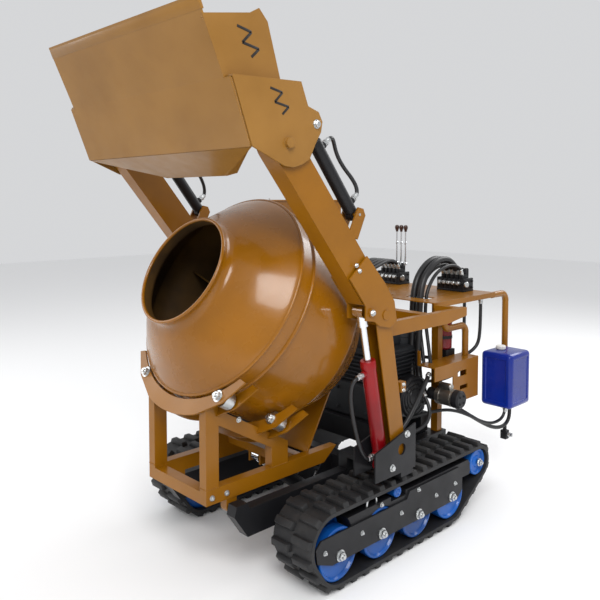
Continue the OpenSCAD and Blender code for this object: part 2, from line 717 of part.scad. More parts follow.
// A cylinder barrel on its base pin, with a bore for the rod
module barrel(base, eye, r, rod, len, x, pin, eye_w) {
    foot = pin + 5;
    difference() {
        union() {
            translate([x, 0, 0]) along(base, eye) translate([0, 0, foot]) cylinder(r = r, h = len - foot);
            x_bar(base, pin + 13, x - eye_w / 2, x + eye_w / 2);
        }
        x_bar(base, pin + FIT, x - eye_w, x + eye_w);
        translate([x, 0, 0]) along(base, eye) translate([0, 0, pin + 26])
            cylinder(r = rod + FIT, h = len);
    }
}
// The rod with its eye block and the pin that is fixed in it
module rod(base, eye, r, from, x, eye_r, eye_w) {
    translate([x, 0, 0]) along(base, eye) translate([0, 0, from])
        cylinder(r = r, h = span(base, eye) - from);
    x_bar(eye, eye_r, x - eye_w / 2, x + eye_w / 2);
    translate([x, 0, 0]) along(base, eye) translate([0, 0, span(base, eye) - eye_r - 34])
        cylinder(r = r + 7, h = 44);
}

lift_len = 455;
module lift_barrel() { barrel(LIFT_BASE, LIFT_EYE, lift_r, lift_rod_r, lift_len, arm_x, 15, 50); }
module lift_rod() { rod(LIFT_BASE, LIFT_EYE, lift_rod_r, 165, arm_x, 27, 50); }
module lift_barrel_left() { color("#a3121f") lift_barrel(); }
module lift_barrel_right() { color("#a3121f") on_side(-1) lift_barrel(); }
module lift_rod_left() { color("#c9c9cc") lift_rod(); }
module lift_rod_right() { color("#c9c9cc") on_side(-1) lift_rod(); }

tilt_len = 335;
module tilt_barrel() { barrel(TILT_BASE, TILT_EYE, tilt_r, tilt_rod_r, tilt_len, arm_x, 12, 30); }
module tilt_rod() { rod(TILT_BASE, TILT_EYE, tilt_rod_r, 130, arm_x, 21, 34); }
module tilt_barrel_left() { color("#1a1a1d") tilt_barrel(); }
module tilt_barrel_right() { color("#1a1a1d") on_side(-1) tilt_barrel(); }
module tilt_rod_left() { color("#c9c9cc") tilt_rod(); }
module tilt_rod_right() { color("#c9c9cc") on_side(-1) tilt_rod(); }

tip_len = 318;
module tip_barrel() { color("#1a1a1d") barrel(JACK_BASE, JACK_EYE, tip_r, tip_rod_r, tip_len, 0, 15, 60); }
module tip_rod() { color("#c9c9cc") rod(JACK_BASE, JACK_EYE, tip_rod_r, 45, 0, 22, 44); }

track_left();
track_right();
track_frame_left();
track_frame_right();
track_rollers_left();
track_rollers_right();
chassis_frame();
mast_bracket_left();
mast_bracket_right();
mast_left();
mast_right();
deck_frame();
control_deck();
lower_panel();
guard_tubes();
engine();
engine_mount();
belt_cover();
muffler();
fuel_tank();
fire_extinguisher();
hydraulic_tank();
tank_stand();
valve_bank_left();
valve_bank_right();
control_levers();
deck_hoses();
cradle_frame();
front_saddle();
rear_saddle();
drum_drive();
drum_roller_front_left();
drum_roller_front_right();
drum_roller_rear_left();
drum_roller_rear_right();
drum_shell();
drum_paddles();
boom_arm_left();
boom_arm_right();
bucket_shell();
bucket_ears();
lift_barrel_left();
lift_barrel_right();
lift_rod_left();
lift_rod_right();
tilt_barrel_left();
tilt_barrel_right();
tilt_rod_left();
tilt_rod_right();
tip_barrel();
tip_rod();
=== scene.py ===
import json
import math

import bmesh
import bpy
from mathutils import Matrix, Vector


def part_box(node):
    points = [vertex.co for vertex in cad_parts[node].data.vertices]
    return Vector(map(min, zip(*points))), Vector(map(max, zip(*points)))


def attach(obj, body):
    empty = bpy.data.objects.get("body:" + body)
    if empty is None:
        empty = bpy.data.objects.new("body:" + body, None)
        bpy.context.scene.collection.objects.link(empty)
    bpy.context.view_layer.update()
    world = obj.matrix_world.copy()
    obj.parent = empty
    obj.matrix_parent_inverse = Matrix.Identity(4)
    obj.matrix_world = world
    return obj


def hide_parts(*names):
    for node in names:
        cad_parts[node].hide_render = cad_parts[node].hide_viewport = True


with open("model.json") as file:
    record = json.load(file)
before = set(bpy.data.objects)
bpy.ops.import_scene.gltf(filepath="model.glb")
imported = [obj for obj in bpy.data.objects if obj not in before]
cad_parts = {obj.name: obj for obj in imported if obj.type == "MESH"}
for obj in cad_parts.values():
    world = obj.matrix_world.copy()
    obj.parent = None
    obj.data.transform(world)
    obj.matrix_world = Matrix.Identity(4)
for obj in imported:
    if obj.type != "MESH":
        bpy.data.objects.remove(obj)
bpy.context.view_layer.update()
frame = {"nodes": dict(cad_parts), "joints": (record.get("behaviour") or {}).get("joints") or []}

# ---------------------------------------------------------------------------
# The studio: a plain pale floor under a pale sky, three large soft lamps, and
# a camera at eye height looking at the machine's front left corner.
MM = 0.001
EYE = Vector((2.261, -2.35, 1.5))
FACING = math.radians(46.1)
DOWN = math.radians(3.0)

camera_data = bpy.data.cameras.new("camera")
camera_data.sensor_width = 36.0
camera_data.lens = 41.0
camera_data.shift_y = -0.108
camera = bpy.data.objects.new("camera", camera_data)
bpy.context.scene.collection.objects.link(camera)
camera.location = EYE
camera.rotation_euler = (math.radians(90) - DOWN, 0, FACING)
bpy.context.scene.camera = camera
bpy.context.scene.view_settings.view_transform = "Standard"


def add(tree, kind, links=(), **settings):
    """Adds a node. settings are its properties or input sockets, links are (socket, source)."""
    node = tree.nodes.new("ShaderNode" + kind)
    for name, value in settings.items():
        key = name.replace("_", " ")
        if hasattr(node, name):
            setattr(node, name, value)
        else:
            node.inputs[key].default_value = value
    for socket, source in links:
        tree.links.new(source, node.inputs[socket])
    return node


def linear(code):
    """Turns an sRGB hex colour into the linear colour that a shader takes."""
    parts = [int(code[i : i + 2], 16) / 255 for i in (1, 3, 5)]
    return [c / 12.92 if c <= 0.04045 else ((c + 0.055) / 1.055) ** 2.4 for c in parts] + [1.0]


def blank_material(name):
    """Makes an empty node material and gives its tree, shader and Object coordinates."""
    material = bpy.data.materials.new(name)
    material.use_nodes = True
    tree = material.node_tree
    shader = tree.nodes["Principled BSDF"]
    return material, tree, shader, add(tree, "TexCoord").outputs["Object"]


floor_paint, tree, shader, _ = blank_material("matt_backdrop_paint")
shader.inputs["Base Color"].default_value = linear("#F4F4F4")
shader.inputs["Roughness"].default_value = 0.9
bm = bmesh.new()
bmesh.ops.create_grid(bm, x_segments=1, y_segments=1, size=14.0)
floor_mesh = bpy.data.meshes.new("floor")
bm.to_mesh(floor_mesh)
bm.free()
floor_mesh.materials.append(floor_paint)
floor = bpy.data.objects.new("floor", floor_mesh)
bpy.context.scene.collection.objects.link(floor)

world = bpy.data.worlds.new("studio")
world.use_nodes = True
world.node_tree.nodes["Background"].inputs["Color"].default_value = linear("#F7F8FA")
world.node_tree.nodes["Background"].inputs["Strength"].default_value = 0.72
bpy.context.scene.world = world

for name, place, size, power in (
    ("key_lamp", (3.6, -3.2, 4.6), 2.6, 230),
    ("fill_lamp", (-4.2, -3.4, 3.4), 3.2, 80),
    ("rear_lamp", (0.6, 4.4, 4.4), 3.0, 140),
):
    lamp_data = bpy.data.lights.new(name, "AREA")
    lamp_data.energy = power
    lamp_data.size = size
    lamp = bpy.data.objects.new(name, lamp_data)
    bpy.context.scene.collection.objects.link(lamp)
    lamp.location = place
    aim = Vector((0, 0, 1.0)) - Vector(place)
    lamp.rotation_euler = aim.to_track_quat("-Z", "Y").to_euler()

# ---------------------------------------------------------------------------
# Sheet steel under orange-yellow gloss enamel: the cradle, saddles, masts, boom,
# deck and panels. Sprayed and baked, so it has a faint orange peel, a little
# unevenness in tone, and dust that dulls it.


def enamel(name, colour, shade, rough, coat=0.35, peel_mm=4.0, edge_mm=2.0):
    """Sprayed enamel: a colour that drifts to a darker shade, orange peel and soft edges."""
    material, tree, shader, place = blank_material(name)
    drift = add(tree, "TexNoise", [("Vector", place)], Scale=3.2, Detail=4.0)
    spread = add(tree, "MapRange", [("Value", drift.outputs["Fac"])], From_Min=0.38, From_Max=0.72)
    tone = add(tree, "Mix", [("Factor", spread.outputs["Result"])], data_type="RGBA")
    tone.inputs[6].default_value = linear(colour)
    tone.inputs[7].default_value = linear(shade)
    tree.links.new(tone.outputs[2], shader.inputs["Base Color"])
    dust = add(tree, "TexNoise", [("Vector", place)], Scale=11.0, Detail=6.0)
    dull = add(tree, "MapRange", [("Value", dust.outputs["Fac"])], From_Min=0.35, From_Max=0.75)
    dull.inputs["To Min"].default_value = rough
    dull.inputs["To Max"].default_value = rough + 0.16
    tree.links.new(dull.outputs["Result"], shader.inputs["Roughness"])
    peel = add(tree, "TexNoise", [("Vector", place)], Scale=1 / (peel_mm * MM), Detail=1.0)
    round_edge = add(tree, "Bevel", Radius=edge_mm * MM)
    bump = add(
        tree,
        "Bump",
        [("Height", peel.outputs["Fac"]), ("Normal", round_edge.outputs["Normal"])],
        Strength=0.06,
        Distance=0.0006,
    )
    tree.links.new(bump.outputs["Normal"], shader.inputs["Normal"])
    shader.inputs["Specular IOR Level"].default_value = 0.25
    shader.inputs["Coat Weight"].default_value = coat
    shader.inputs["Coat Roughness"].default_value = 0.12
    return material


yellow = enamel("yellow_gloss_enamel", "#8E5B05", "#7D4F04", 0.3, coat=0.2)


def coat(node, material):
    """Gives a frame node its material."""
    piece = frame["nodes"][node]
    piece.data.materials.clear()
    piece.data.materials.append(material)


for node in (
    "mast_left mast_right deck_frame control_deck lower_panel cradle_frame front_saddle "
    "rear_saddle boom_arm_left boom_arm_right"
).split():
    coat(node, yellow)

# ---------------------------------------------------------------------------
# Black satin enamel on the frames, brackets and tilt cylinders.
black = enamel("black_satin_enamel", "#1C1C1F", "#121214", 0.42, coat=0.1, peel_mm=3.0)
for node in (
    "track_frame_left track_frame_right chassis_frame mast_bracket_left mast_bracket_right "
    "tank_stand engine_mount drum_drive tilt_barrel_left tilt_barrel_right tip_barrel"
).split():
    coat(node, black)

# ---------------------------------------------------------------------------
# Rubber tracks: an endless belt with square tread lugs in two staggered rows.
# Moulded black rubber, grey with dust on the lug tops, dull and softly lit.


def rubber_material(name, colour, dusty, rough):
    """Moulded rubber with fine grain and dust in patches."""
    material, tree, shader, place = blank_material(name)
    patch = add(tree, "TexNoise", [("Vector", place)], Scale=9.0, Detail=8.0, Roughness=0.65)
    spread = add(tree, "MapRange", [("Value", patch.outputs["Fac"])], From_Min=0.45, From_Max=0.75)
    tone = add(tree, "Mix", [("Factor", spread.outputs["Result"])], data_type="RGBA")
    tone.inputs[6].default_value = linear(colour)
    tone.inputs[7].default_value = linear(dusty)
    tree.links.new(tone.outputs[2], shader.inputs["Base Color"])
    grain = add(tree, "TexNoise", [("Vector", place)], Scale=420.0, Detail=3.0)
    bump = add(tree, "Bump", [("Height", grain.outputs["Fac"])], Strength=0.35, Distance=0.0006)
    tree.links.new(bump.outputs["Normal"], shader.inputs["Normal"])
    shader.inputs["Roughness"].default_value = rough
    return material


rubber = rubber_material("moulded_track_rubber", "#161618", "#2C2B2A", 0.62)


def finish_piece(bm, name, material, body, smooth=35.0):
    """Turns a bmesh into a piece that rides on a body, shaded smooth up to an angle."""
    bmesh.ops.recalc_face_normals(bm, faces=bm.faces)
    mesh = bpy.data.meshes.new(name)
    bm.to_mesh(mesh)
    bm.free()
    mesh.materials.append(material)
    piece = bpy.data.objects.new(name, mesh)
    bpy.context.scene.collection.objects.link(piece)
    mesh.shade_smooth()
    mesh.set_sharp_from_angle(angle=math.radians(smooth))
    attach(piece, body)
    return piece


def belt_loop(circles):
    """Works out the belt's arcs and runs around a list of (y, z, radius)."""
    count = len(circles)

    def run_angle(index):
        y0, z0, r0 = circles[index]
        y1, z1, r1 = circles[(index + 1) % count]
        gap = math.hypot(y1 - y0, z1 - z0)
        return math.atan2(z1 - z0, y1 - y0) - math.acos((r0 - r1) / gap)

    legs = []
    for index, (y0, z0, r0) in enumerate(circles):
        y1, z1, r1 = circles[(index + 1) % count]
        start = run_angle(index - 1)
        turn = (run_angle(index) - start) % (2 * math.pi)
        run = math.sqrt(math.hypot(y1 - y0, z1 - z0) ** 2 - (r0 - r1) ** 2)
        legs.append((circles[index], start, turn, (r0 + BELT / 2) * turn, run))
    return legs


BELT = 15 * MM
LUG = 20 * MM
LUG_PITCH = 72 * MM
track_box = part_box("track_left")
track_in, track_out = track_box[0][0], track_box[1][0]
belt_top = track_box[1][2]
grip = BELT + LUG
CIRCLES = [
    (-476 * MM, grip + 107 * MM, 107 * MM),
    (300 * MM, grip + 30 * MM, 30 * MM),
    (505 * MM, belt_top - grip - 66 * MM, 66 * MM),
    (-512 * MM, belt_top - grip - 108 * MM, 108 * MM),
]
LEGS = belt_loop(CIRCLES)
BELT_LENGTH = sum(leg[3] + leg[4] for leg in LEGS)


def belt_frame(s):
    """A matrix at distance s around the belt: X along machine X, Y along the belt, Z outwards."""
    s %= BELT_LENGTH
    for (y, z, r), start, turn, arc, run in LEGS:
        if s < arc:
            angle = start + turn * s / arc
            ahead = 0.0
            break
        if s < arc + run:
            angle = start + turn
            ahead = s - arc
            break
        s -= arc + run
    out = Vector((0, math.cos(angle), math.sin(angle)))
    along = Vector((0, -math.sin(angle), math.cos(angle)))
    point = Vector((0, y, z)) + out * r + along * ahead
    m = Matrix((Vector((1, 0, 0)), along, out)).transposed().to_4x4()
    m.translation = point
    return m


def bevel_block(bm, size, matrix, bevel, taper=1.0):
    """Adds a block with bevelled edges, its top narrower by taper; size is (x, y, z)."""
    made = bmesh.ops.create_cube(bm, size=1.0)["verts"]
    for v in made:
        narrow = taper if v.co.z > 0 else 1.0
        v.co = Vector((v.co.x * size[0] * narrow, v.co.y * size[1] * narrow, v.co.z * size[2]))
    edges = list({e for v in made for e in v.link_edges})
    done = bmesh.ops.bevel(
        bm, geom=edges, offset=bevel, segments=2, profile=0.5, affect="EDGES", material=-1
    )
    verts = list({v for f in done["faces"] for v in f.verts} | {v for v in made if v.is_valid})
    bmesh.ops.transform(bm, matrix=matrix, verts=verts)
    for v in verts:
        v.tag = True


def track(name, side, node):
    """Builds one belt with its lugs and the ridges that hold the wheels."""
    bm = bmesh.new()
    half = (track_out - track_in) / 2
    mid = (track_out + track_in) / 2 * side
    steps = 150
    rings = []
    for index in range(steps):
        m = belt_frame(index * BELT_LENGTH / steps)
        corners = ((-half, 0), (half, 0), (half, BELT), (-half, BELT))
        rings.append([bm.verts.new(m @ Vector((x + mid, 0, h))) for x, h in corners])
    for index in range(steps):
        a, b = rings[index], rings[(index + 1) % steps]
        for k in range(4):
            bm.faces.new((a[k], a[(k + 1) % 4], b[(k + 1) % 4], b[k]))
    count = round(BELT_LENGTH / LUG_PITCH)
    pitch = BELT_LENGTH / count
    for index in range(count):
        for row, shift in ((-1, 0.25), (1, 0.72)):
            place = belt_frame((index + shift) * pitch)
            width = half * 0.98
            shove = Matrix.Translation((mid + side * row * (half - width / 2), 0, BELT + LUG / 2 - 2 * MM))
            bevel_block(bm, (width, pitch * 0.46, LUG + 1 * MM), place @ shove, 3 * MM, 0.86)
            horn = Matrix.Translation((mid + row * 12 * MM, 0, -9 * MM))
            bevel_block(bm, (14 * MM, 26 * MM, 20 * MM), place @ horn, 3 * MM, 0.9)
    piece = finish_piece(bm, name, rubber, "chassis", 30.0)
    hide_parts(node)


track("belt_left", 1, "track_left")
track("belt_right", -1, "track_right")

# ---------------------------------------------------------------------------
# Road rollers, idler, carrier roller and sprocket: cast wheels in blue enamel,
# dished on the outside, each on an axle with a plated nut outside the frame.
blue = enamel("blue_wheel_enamel", "#0B5CB4", "#083A78", 0.35, peel_mm=3.0)


def metal(name, colour, rough, streak=0.0, grain_mm=0.8):
    """Bare or plated steel: metallic, with fine scratches that vary its gloss."""
    material, tree, shader, place = blank_material(name)
    shader.inputs["Metallic"].default_value = 1.0
    shader.inputs["Base Color"].default_value = linear(colour)
    marks = add(tree, "TexNoise", [("Vector", place)], Scale=1 / (grain_mm * 12 * MM), Detail=5.0)
    gloss = add(tree, "MapRange", [("Value", marks.outputs["Fac"])], From_Min=0.3, From_Max=0.7)
    gloss.inputs["To Min"].default_value = rough
    gloss.inputs["To Max"].default_value = rough + 0.14
    tree.links.new(gloss.outputs["Result"], shader.inputs["Roughness"])
    fine = add(tree, "TexNoise", [("Vector", place)], Scale=1 / (grain_mm * MM), Detail=2.0)
    bump = add(tree, "Bump", [("Height", fine.outputs["Fac"])], Strength=0.08 + streak, Distance=0.0003)
    tree.links.new(bump.outputs["Normal"], shader.inputs["Normal"])
    return material


zinc = metal("zinc_plated_steel", "#C9CBCB", 0.26)
chrome = metal("hard_chrome", "#E4E6E8", 0.07)
for node in "lift_rod_left lift_rod_right tilt_rod_left tilt_rod_right tip_rod".split():
    coat(node, chrome)


def spun(bm, profile, matrix, steps=40):
    """Turns a profile of (radius, height) about local Z, closing it on the axis or on itself."""
    verts = [bm.verts.new((r, 0, h)) for r, h in profile]
    edges = [bm.edges.new(pair) for pair in zip(verts, verts[1:])]
    made = bmesh.ops.spin(
        bm,
        geom=verts + edges,
        axis=(0, 0, 1),
        cent=(0, 0, 0),
        angle=2 * math.pi,
        steps=steps,
        use_merge=True,
        use_duplicate=False,
    )
    everything = list({v for v in bm.verts if v.is_valid and not v.tag})
    bmesh.ops.remove_doubles(bm, verts=everything, dist=1e-6)
    everything = [v for v in bm.verts if not v.tag]
    bmesh.ops.transform(bm, matrix=matrix, verts=everything)
    for v in everything:
        v.tag = True


def facing(point, direction):
    """A matrix at a point with its Z along a direction."""
    m = Vector(direction).to_track_quat("Z", "Y").to_matrix().to_4x4()
    m.translation = Vector(point)
    return m


def keep(bm):
    """Marks what is in a bmesh so that later turned shapes leave it alone."""
    for v in bm.verts:
        v.tag = True


def bolt(bm, point, direction, size, stud=True):
    """Adds a washer and a hexagon nut, with its stud standing out of it if it has one."""
    keep(bm)
    at = facing(point, direction)
    ring = size * 0.75
    spun(bm, [(0, 0), (ring, 0), (ring, size * 0.1), (0, size * 0.1)], at, 24)
    head = [(0, 0), (size * 0.58, 0), (size * 0.58, size * 0.5), (size * 0.48, size * 0.58), (0, size * 0.58)]
    spun(bm, head, at, 6)
    if stud:
        spun(bm, [(0, 0), (size * 0.28, 0), (size * 0.28, size * 0.8), (0, size * 0.85)], at, 16)


ROAD_Y = [(-476 + 250 * k) * MM for k in range(4)]
ROAD_Z = 142 * MM
frame_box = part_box("track_frame_left")
plate_out = frame_box[1][0]
plate_in = frame_box[0][0]


def wheel_disc(bm, x, y, z, radius, width, side):
    """One dished disc whose outer face looks away from the machine's middle."""
    keep(bm)
    rim = radius - 9 * MM
    dish = 9 * MM
    hub = radius * 0.34
    profile = [
        (0, 0), (rim, 0), (radius, 4 * MM), (radius, width - 4 * MM), (radius - 4 * MM, width),
        (rim - 2 * MM, width), (rim - 8 * MM, width - dish), (hub + 8 * MM, width - dish),
        (hub, width - 1 * MM), (hub - 4 * MM, width), (0, width),
    ]
    spun(bm, profile, facing((x * side, y, z), (side, 0, 0)), 56)


def wheels(name, side, node):
    """Builds every wheel of one track."""
    bm = bmesh.new()
    disc = 52 * MM
    inner = plate_in + 9 * MM
    outer = plate_out - 61 * MM
    for y in ROAD_Y:
        wheel_disc(bm, inner, y, ROAD_Z, 104 * MM, disc, side)
        wheel_disc(bm, outer, y, ROAD_Z, 104 * MM, disc, side)
    for y in ROAD_Y[1:]:
        wheel_disc(bm, inner + disc, y, ROAD_Z, 30 * MM, outer - inner - disc, side)
    wheel_disc(bm, plate_in + 54 * MM, CIRCLES[3][0], CIRCLES[3][1], 105 * MM, 66 * MM, side)
    wheel_disc(bm, inner, CIRCLES[2][0], CIRCLES[2][1], 63 * MM, disc, side)
    wheel_disc(bm, outer, CIRCLES[2][0], CIRCLES[2][1], 63 * MM, disc, side)
    wheel_disc(bm, outer, -110 * MM, 276 * MM, 24 * MM, disc, side)
    piece = finish_piece(bm, name, blue, "chassis")
    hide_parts(node)
    nuts = bmesh.new()
    for y in ROAD_Y:
        bolt(nuts, (plate_out * side, y, ROAD_Z), (side, 0, 0), 30 * MM)
    finish_piece(nuts, name + "_nuts", zinc, "chassis")


wheels("wheels_left", 1, "track_rollers_left")
wheels("wheels_right", -1, "track_rollers_right")

# ---------------------------------------------------------------------------
# The mixing drum: spun and rolled sheet with a rolled rim, a dished front, two
# raised rings at the seam and a tapered back, glossy outside, and inside a dark yellow-brown that is painted
# shade.


def joint(name):
    """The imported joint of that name."""
    return next(j for j in frame["joints"] if j["name"] == name)


drum_joint = joint("drum_spin")
DRUM_AXIS = -Vector(drum_joint["axis"])
RIM = Vector(drum_joint["pos_m"])
cross = Vector((1, 0, 0))
drum_place = Matrix((cross, DRUM_AXIS.cross(cross), DRUM_AXIS)).transposed().to_4x4()
drum_place.translation = RIM
DRUM_R, MOUTH_R, BODY_R, BACK_R = 436 * MM, 226 * MM, 428 * MM, 257 * MM
DRUM_LEN, WALL = 850 * MM, 5 * MM
RINGS = (222 * MM, 296 * MM)

drum_yellow = enamel("drum_gloss_enamel", "#8E5904", "#7C4D03", 0.22, coat=0.4, peel_mm=6.0)
# The drum's inside and its blades are painted dark yellow-brown: painted shade in the hollow.
drum_inside_painted_shade = enamel("drum_hollow_painted_shade", "#5A3F16", "#2A1E12", 0.6, coat=0.0, peel_mm=5.0)


def smooth_curve(points, parts):
    """Passes a smooth curve through (radius, height) points, parts steps between each two."""
    out = []
    for k in range(len(points) - 1):
        p0 = points[max(k - 1, 0)]
        p1, p2 = points[k], points[k + 1]
        p3 = points[min(k + 2, len(points) - 1)]
        for step in range(parts):
            t = step / parts
            out.append(tuple(
                0.5 * (2 * b + (c - a) * t + (2 * a - 5 * b + 4 * c - d) * t * t
                       + (3 * b - a - 3 * c + d) * t ** 3)
                for a, b, c, d in zip(p0, p1, p2, p3)
            ))
    return out + [points[-1]]


front = smooth_curve(
    [(MOUTH_R, 40 * MM), (MOUTH_R + 12 * MM, 57 * MM), (MOUTH_R + 52 * MM, 82 * MM),
     (MOUTH_R + 104 * MM, 118 * MM), (MOUTH_R + 156 * MM, 164 * MM),
     (DRUM_R - 12 * MM, 203 * MM), (DRUM_R - 1 * MM, 216 * MM)], 4)
bead = [(MOUTH_R - 1 * MM + 7 * MM * math.cos(a), 5 * MM - 7 * MM * math.sin(a))
        for a in [math.radians(d) for d in range(200, -61, -20)]]


def ring_bump(at):
    """One rolled ring standing 8 mm out of the drum's seam band."""
    return [(DRUM_R, at - 7 * MM), (DRUM_R + 6 * MM, at - 5 * MM), (DRUM_R + 8 * MM, at - 2 * MM),
            (DRUM_R + 8 * MM, at + 2 * MM), (DRUM_R + 6 * MM, at + 5 * MM), (DRUM_R, at + 7 * MM)]


back = smooth_curve(
    [(BODY_R, 610 * MM), (BODY_R - 10 * MM, 630 * MM), (BODY_R - 32 * MM, 658 * MM),
     (BACK_R + 75 * MM, 762 * MM), (BACK_R + 20 * MM, 828 * MM), (BACK_R - 2 * MM, DRUM_LEN - 4 * MM)], 3)
outside = (
    bead + [(MOUTH_R, 22 * MM)] + front + ring_bump(RINGS[0]) + ring_bump(RINGS[1])
    + [(DRUM_R, 306 * MM), (BODY_R, 312 * MM), (BODY_R, 460 * MM)] + back
    + [(BACK_R - 12 * MM, DRUM_LEN), (0, DRUM_LEN)]
)
inside = [(0, DRUM_LEN - WALL), (BACK_R - 8 * MM, DRUM_LEN - WALL)]
inside += [(r - WALL, h) for r, h in reversed(back)]
inside += [(BODY_R - WALL, 312 * MM), (DRUM_R - WALL, 300 * MM), (DRUM_R - WALL, 222 * MM)]
inside += [(r - WALL, h + 3 * MM) for r, h in reversed(front)]
inside += [(MOUTH_R - WALL - 1 * MM, 8 * MM), bead[0]]

bm = bmesh.new()
spun(bm, outside, drum_place, 128)
shaft = [(0, DRUM_LEN), (30 * MM, DRUM_LEN), (30 * MM, DRUM_LEN + 22 * MM), (0, DRUM_LEN + 22 * MM)]
spun(bm, shaft, drum_place, 40)
drum_skin = finish_piece(bm, "drum_skin", drum_yellow, "drum", 40.0)
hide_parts("drum_shell")
bm = bmesh.new()
spun(bm, inside, drum_place, 96)
finish_piece(bm, "drum_inner", drum_inside_painted_shade, "drum", 40.0)


def plate_piece(bm, outline, thickness, matrix, bevel=1.5 * MM):
    """Adds a plate from an outline of (x, y), as thick as given along local Z, edges bevelled."""
    verts = [bm.verts.new((x, y, -thickness / 2)) for x, y in outline]
    face = bm.faces.new(verts)
    grown = bmesh.ops.extrude_face_region(bm, geom=[face])
    top = [v for v in grown["geom"] if isinstance(v, bmesh.types.BMVert)]
    bmesh.ops.translate(bm, verts=top, vec=(0, 0, thickness))
    group = verts + top
    edges = list({e for v in group for e in v.link_edges})
    done = bmesh.ops.bevel(
        bm, geom=edges, offset=bevel, segments=1, profile=0.5, affect="EDGES", material=-1
    )
    group = list({v for f in done["faces"] for v in f.verts} | {v for v in group if v.is_valid})
    bmesh.ops.transform(bm, matrix=matrix, verts=group)
    for v in group:
        v.tag = True


# Mixing blades: three flat plates welded inside the drum, 120 degrees apart.
bm = bmesh.new()
for k in range(3):
    turn = drum_place @ Matrix.Rotation(math.radians(75.6 + 120 * k), 4, "Z")
    lay = turn @ Matrix.Rotation(math.radians(90), 4, "X")
    reach = BODY_R - WALL - 1 * MM
    plate_piece(
        bm,
        [(reach - 165 * MM, 332 * MM), (reach, 332 * MM), (reach, 600 * MM), (reach - 108 * MM, 600 * MM)],
        8 * MM, lay)
# The blades take the same painted shade as the drum's inside.
blades = finish_piece(bm, "mixing_blades", drum_inside_painted_shade, "drum")
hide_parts("drum_paddles")

# ---------------------------------------------------------------------------
# Hydraulic cylinders: red lift barrels and black tilt barrels with a screwed
# gland at the rod end, port fittings and short hoses clipped beside them.
red = enamel("red_cylinder_enamel", "#8C0810", "#66040B", 0.28, coat=0.3, peel_mm=3.0)
for node in ("lift_barrel_left", "lift_barrel_right"):
    coat(node, red)
hose_rubber = rubber_material("hydraulic_hose_rubber", "#141416", "#222122", 0.42)


def hose(name, points, radius, body, steps=10):
    """A hose along a smooth curve through points, with its ends closed."""
    curve = bpy.data.curves.new(name, "CURVE")
    curve.dimensions = "3D"
    curve.bevel_depth = radius
    curve.bevel_resolution = 3
    curve.use_fill_caps = True
    spline = curve.splines.new("NURBS")
    spline.points.add(len(points) - 1)
    for target, point in zip(spline.points, points):
        target.co = (*point, 1.0)
    spline.order_u = 4
    spline.use_endpoint_u = True
    spline.resolution_u = steps
    piece = bpy.data.objects.new(name, curve)
    bpy.context.scene.collection.objects.link(piece)
    bpy.context.view_layer.update()
    shape = bpy.data.meshes.new_from_object(piece)
    bpy.data.objects.remove(piece)
    piece = bpy.data.objects.new(name, shape)
    bpy.context.scene.collection.objects.link(piece)
    shape.materials.clear()
    shape.materials.append(hose_rubber)
    shape.shade_smooth()
    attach(piece, body)
    return piece


def fitting(bm, point, direction, length, radius):
    """A plated hose end: collar, hexagon nut and crimped ferrule."""
    keep(bm)
    at = facing(point, direction)
    spun(bm, [(0, 0), (radius * 1.15, 0), (radius * 1.15, length * 0.25), (0, length * 0.25)], at, 20)
    nut = Matrix.Translation((0, 0, length * 0.25))
    spun(bm, [(0, 0), (radius * 1.45, 0), (radius * 1.45, length * 0.3), (0, length * 0.3)], at @ nut, 6)
    crimp = Matrix.Translation((0, 0, length * 0.55))
    spun(bm, [(0, 0), (radius * 1.1, 0), (radius * 1.2, length * 0.1), (radius * 1.2, length * 0.4),
              (radius, length * 0.45), (0, length * 0.45)], at @ crimp, 20)


def cylinder_trim(tag, side, radius, length, ports, paint, ferrule):
    """Gland and port bosses on one barrel, with a hose from port to port along its front."""
    swing = joint(tag + "_swing")
    slide = joint(tag + "_extend")
    base = Vector(swing["pos_m"])
    up = Vector(slide["axis"])
    body = swing["child"]
    out = Vector((0, -up.z, up.y)) if ports > 0 else Vector((0, up.z, -up.y))
    bm = bmesh.new()
    gland = [(radius * 0.56, 0), (radius * 1.07, 0), (radius * 1.07, 30 * MM), (radius * 0.98, 34 * MM),
             (radius * 0.56, 34 * MM)]
    spun(bm, gland + [gland[0]], facing(base + up * (length - 30 * MM), up), 40)
    for along in (0.13, 0.9):
        keep(bm)
        boss = facing(base + up * length * along + out * radius * 0.9, out)
        spun(bm, [(0, 0), (14 * MM, 0), (14 * MM, 12 * MM), (12 * MM, 14 * MM), (0, 14 * MM)], boss, 24)
    finish_piece(bm, tag + "_gland", paint, body)
    bm = bmesh.new()
    low = base + up * length * 0.13 + out * (radius * 0.9 + 14 * MM)
    high = base + up * length * 0.9 + out * (radius * 0.9 + 14 * MM)
    fitting(bm, low, out, 34 * MM, 9 * MM)
    fitting(bm, high, out, 34 * MM, 9 * MM)
    finish_piece(bm, tag + "_fittings", ferrule, body)
    bow = out * 62 * MM
    inner = Vector((-0.03 * (1 if side > 0 else -1), 0, 0))
    hose(tag + "_hose", [high + out * 30 * MM, high + bow, high + bow - up * 60 * MM + inner,
                         low + bow * 0.9 + up * 110 * MM + inner, low + bow + up * 20 * MM,
                         low + out * 30 * MM], 8 * MM, body)


for word, side in (("left", 1), ("right", -1)):
    cylinder_trim("lift_" + word, side, 30 * MM, 455 * MM, 1, red, zinc)
    cylinder_trim("tilt_" + word, side, 25 * MM, 335 * MM, -1, black, zinc)

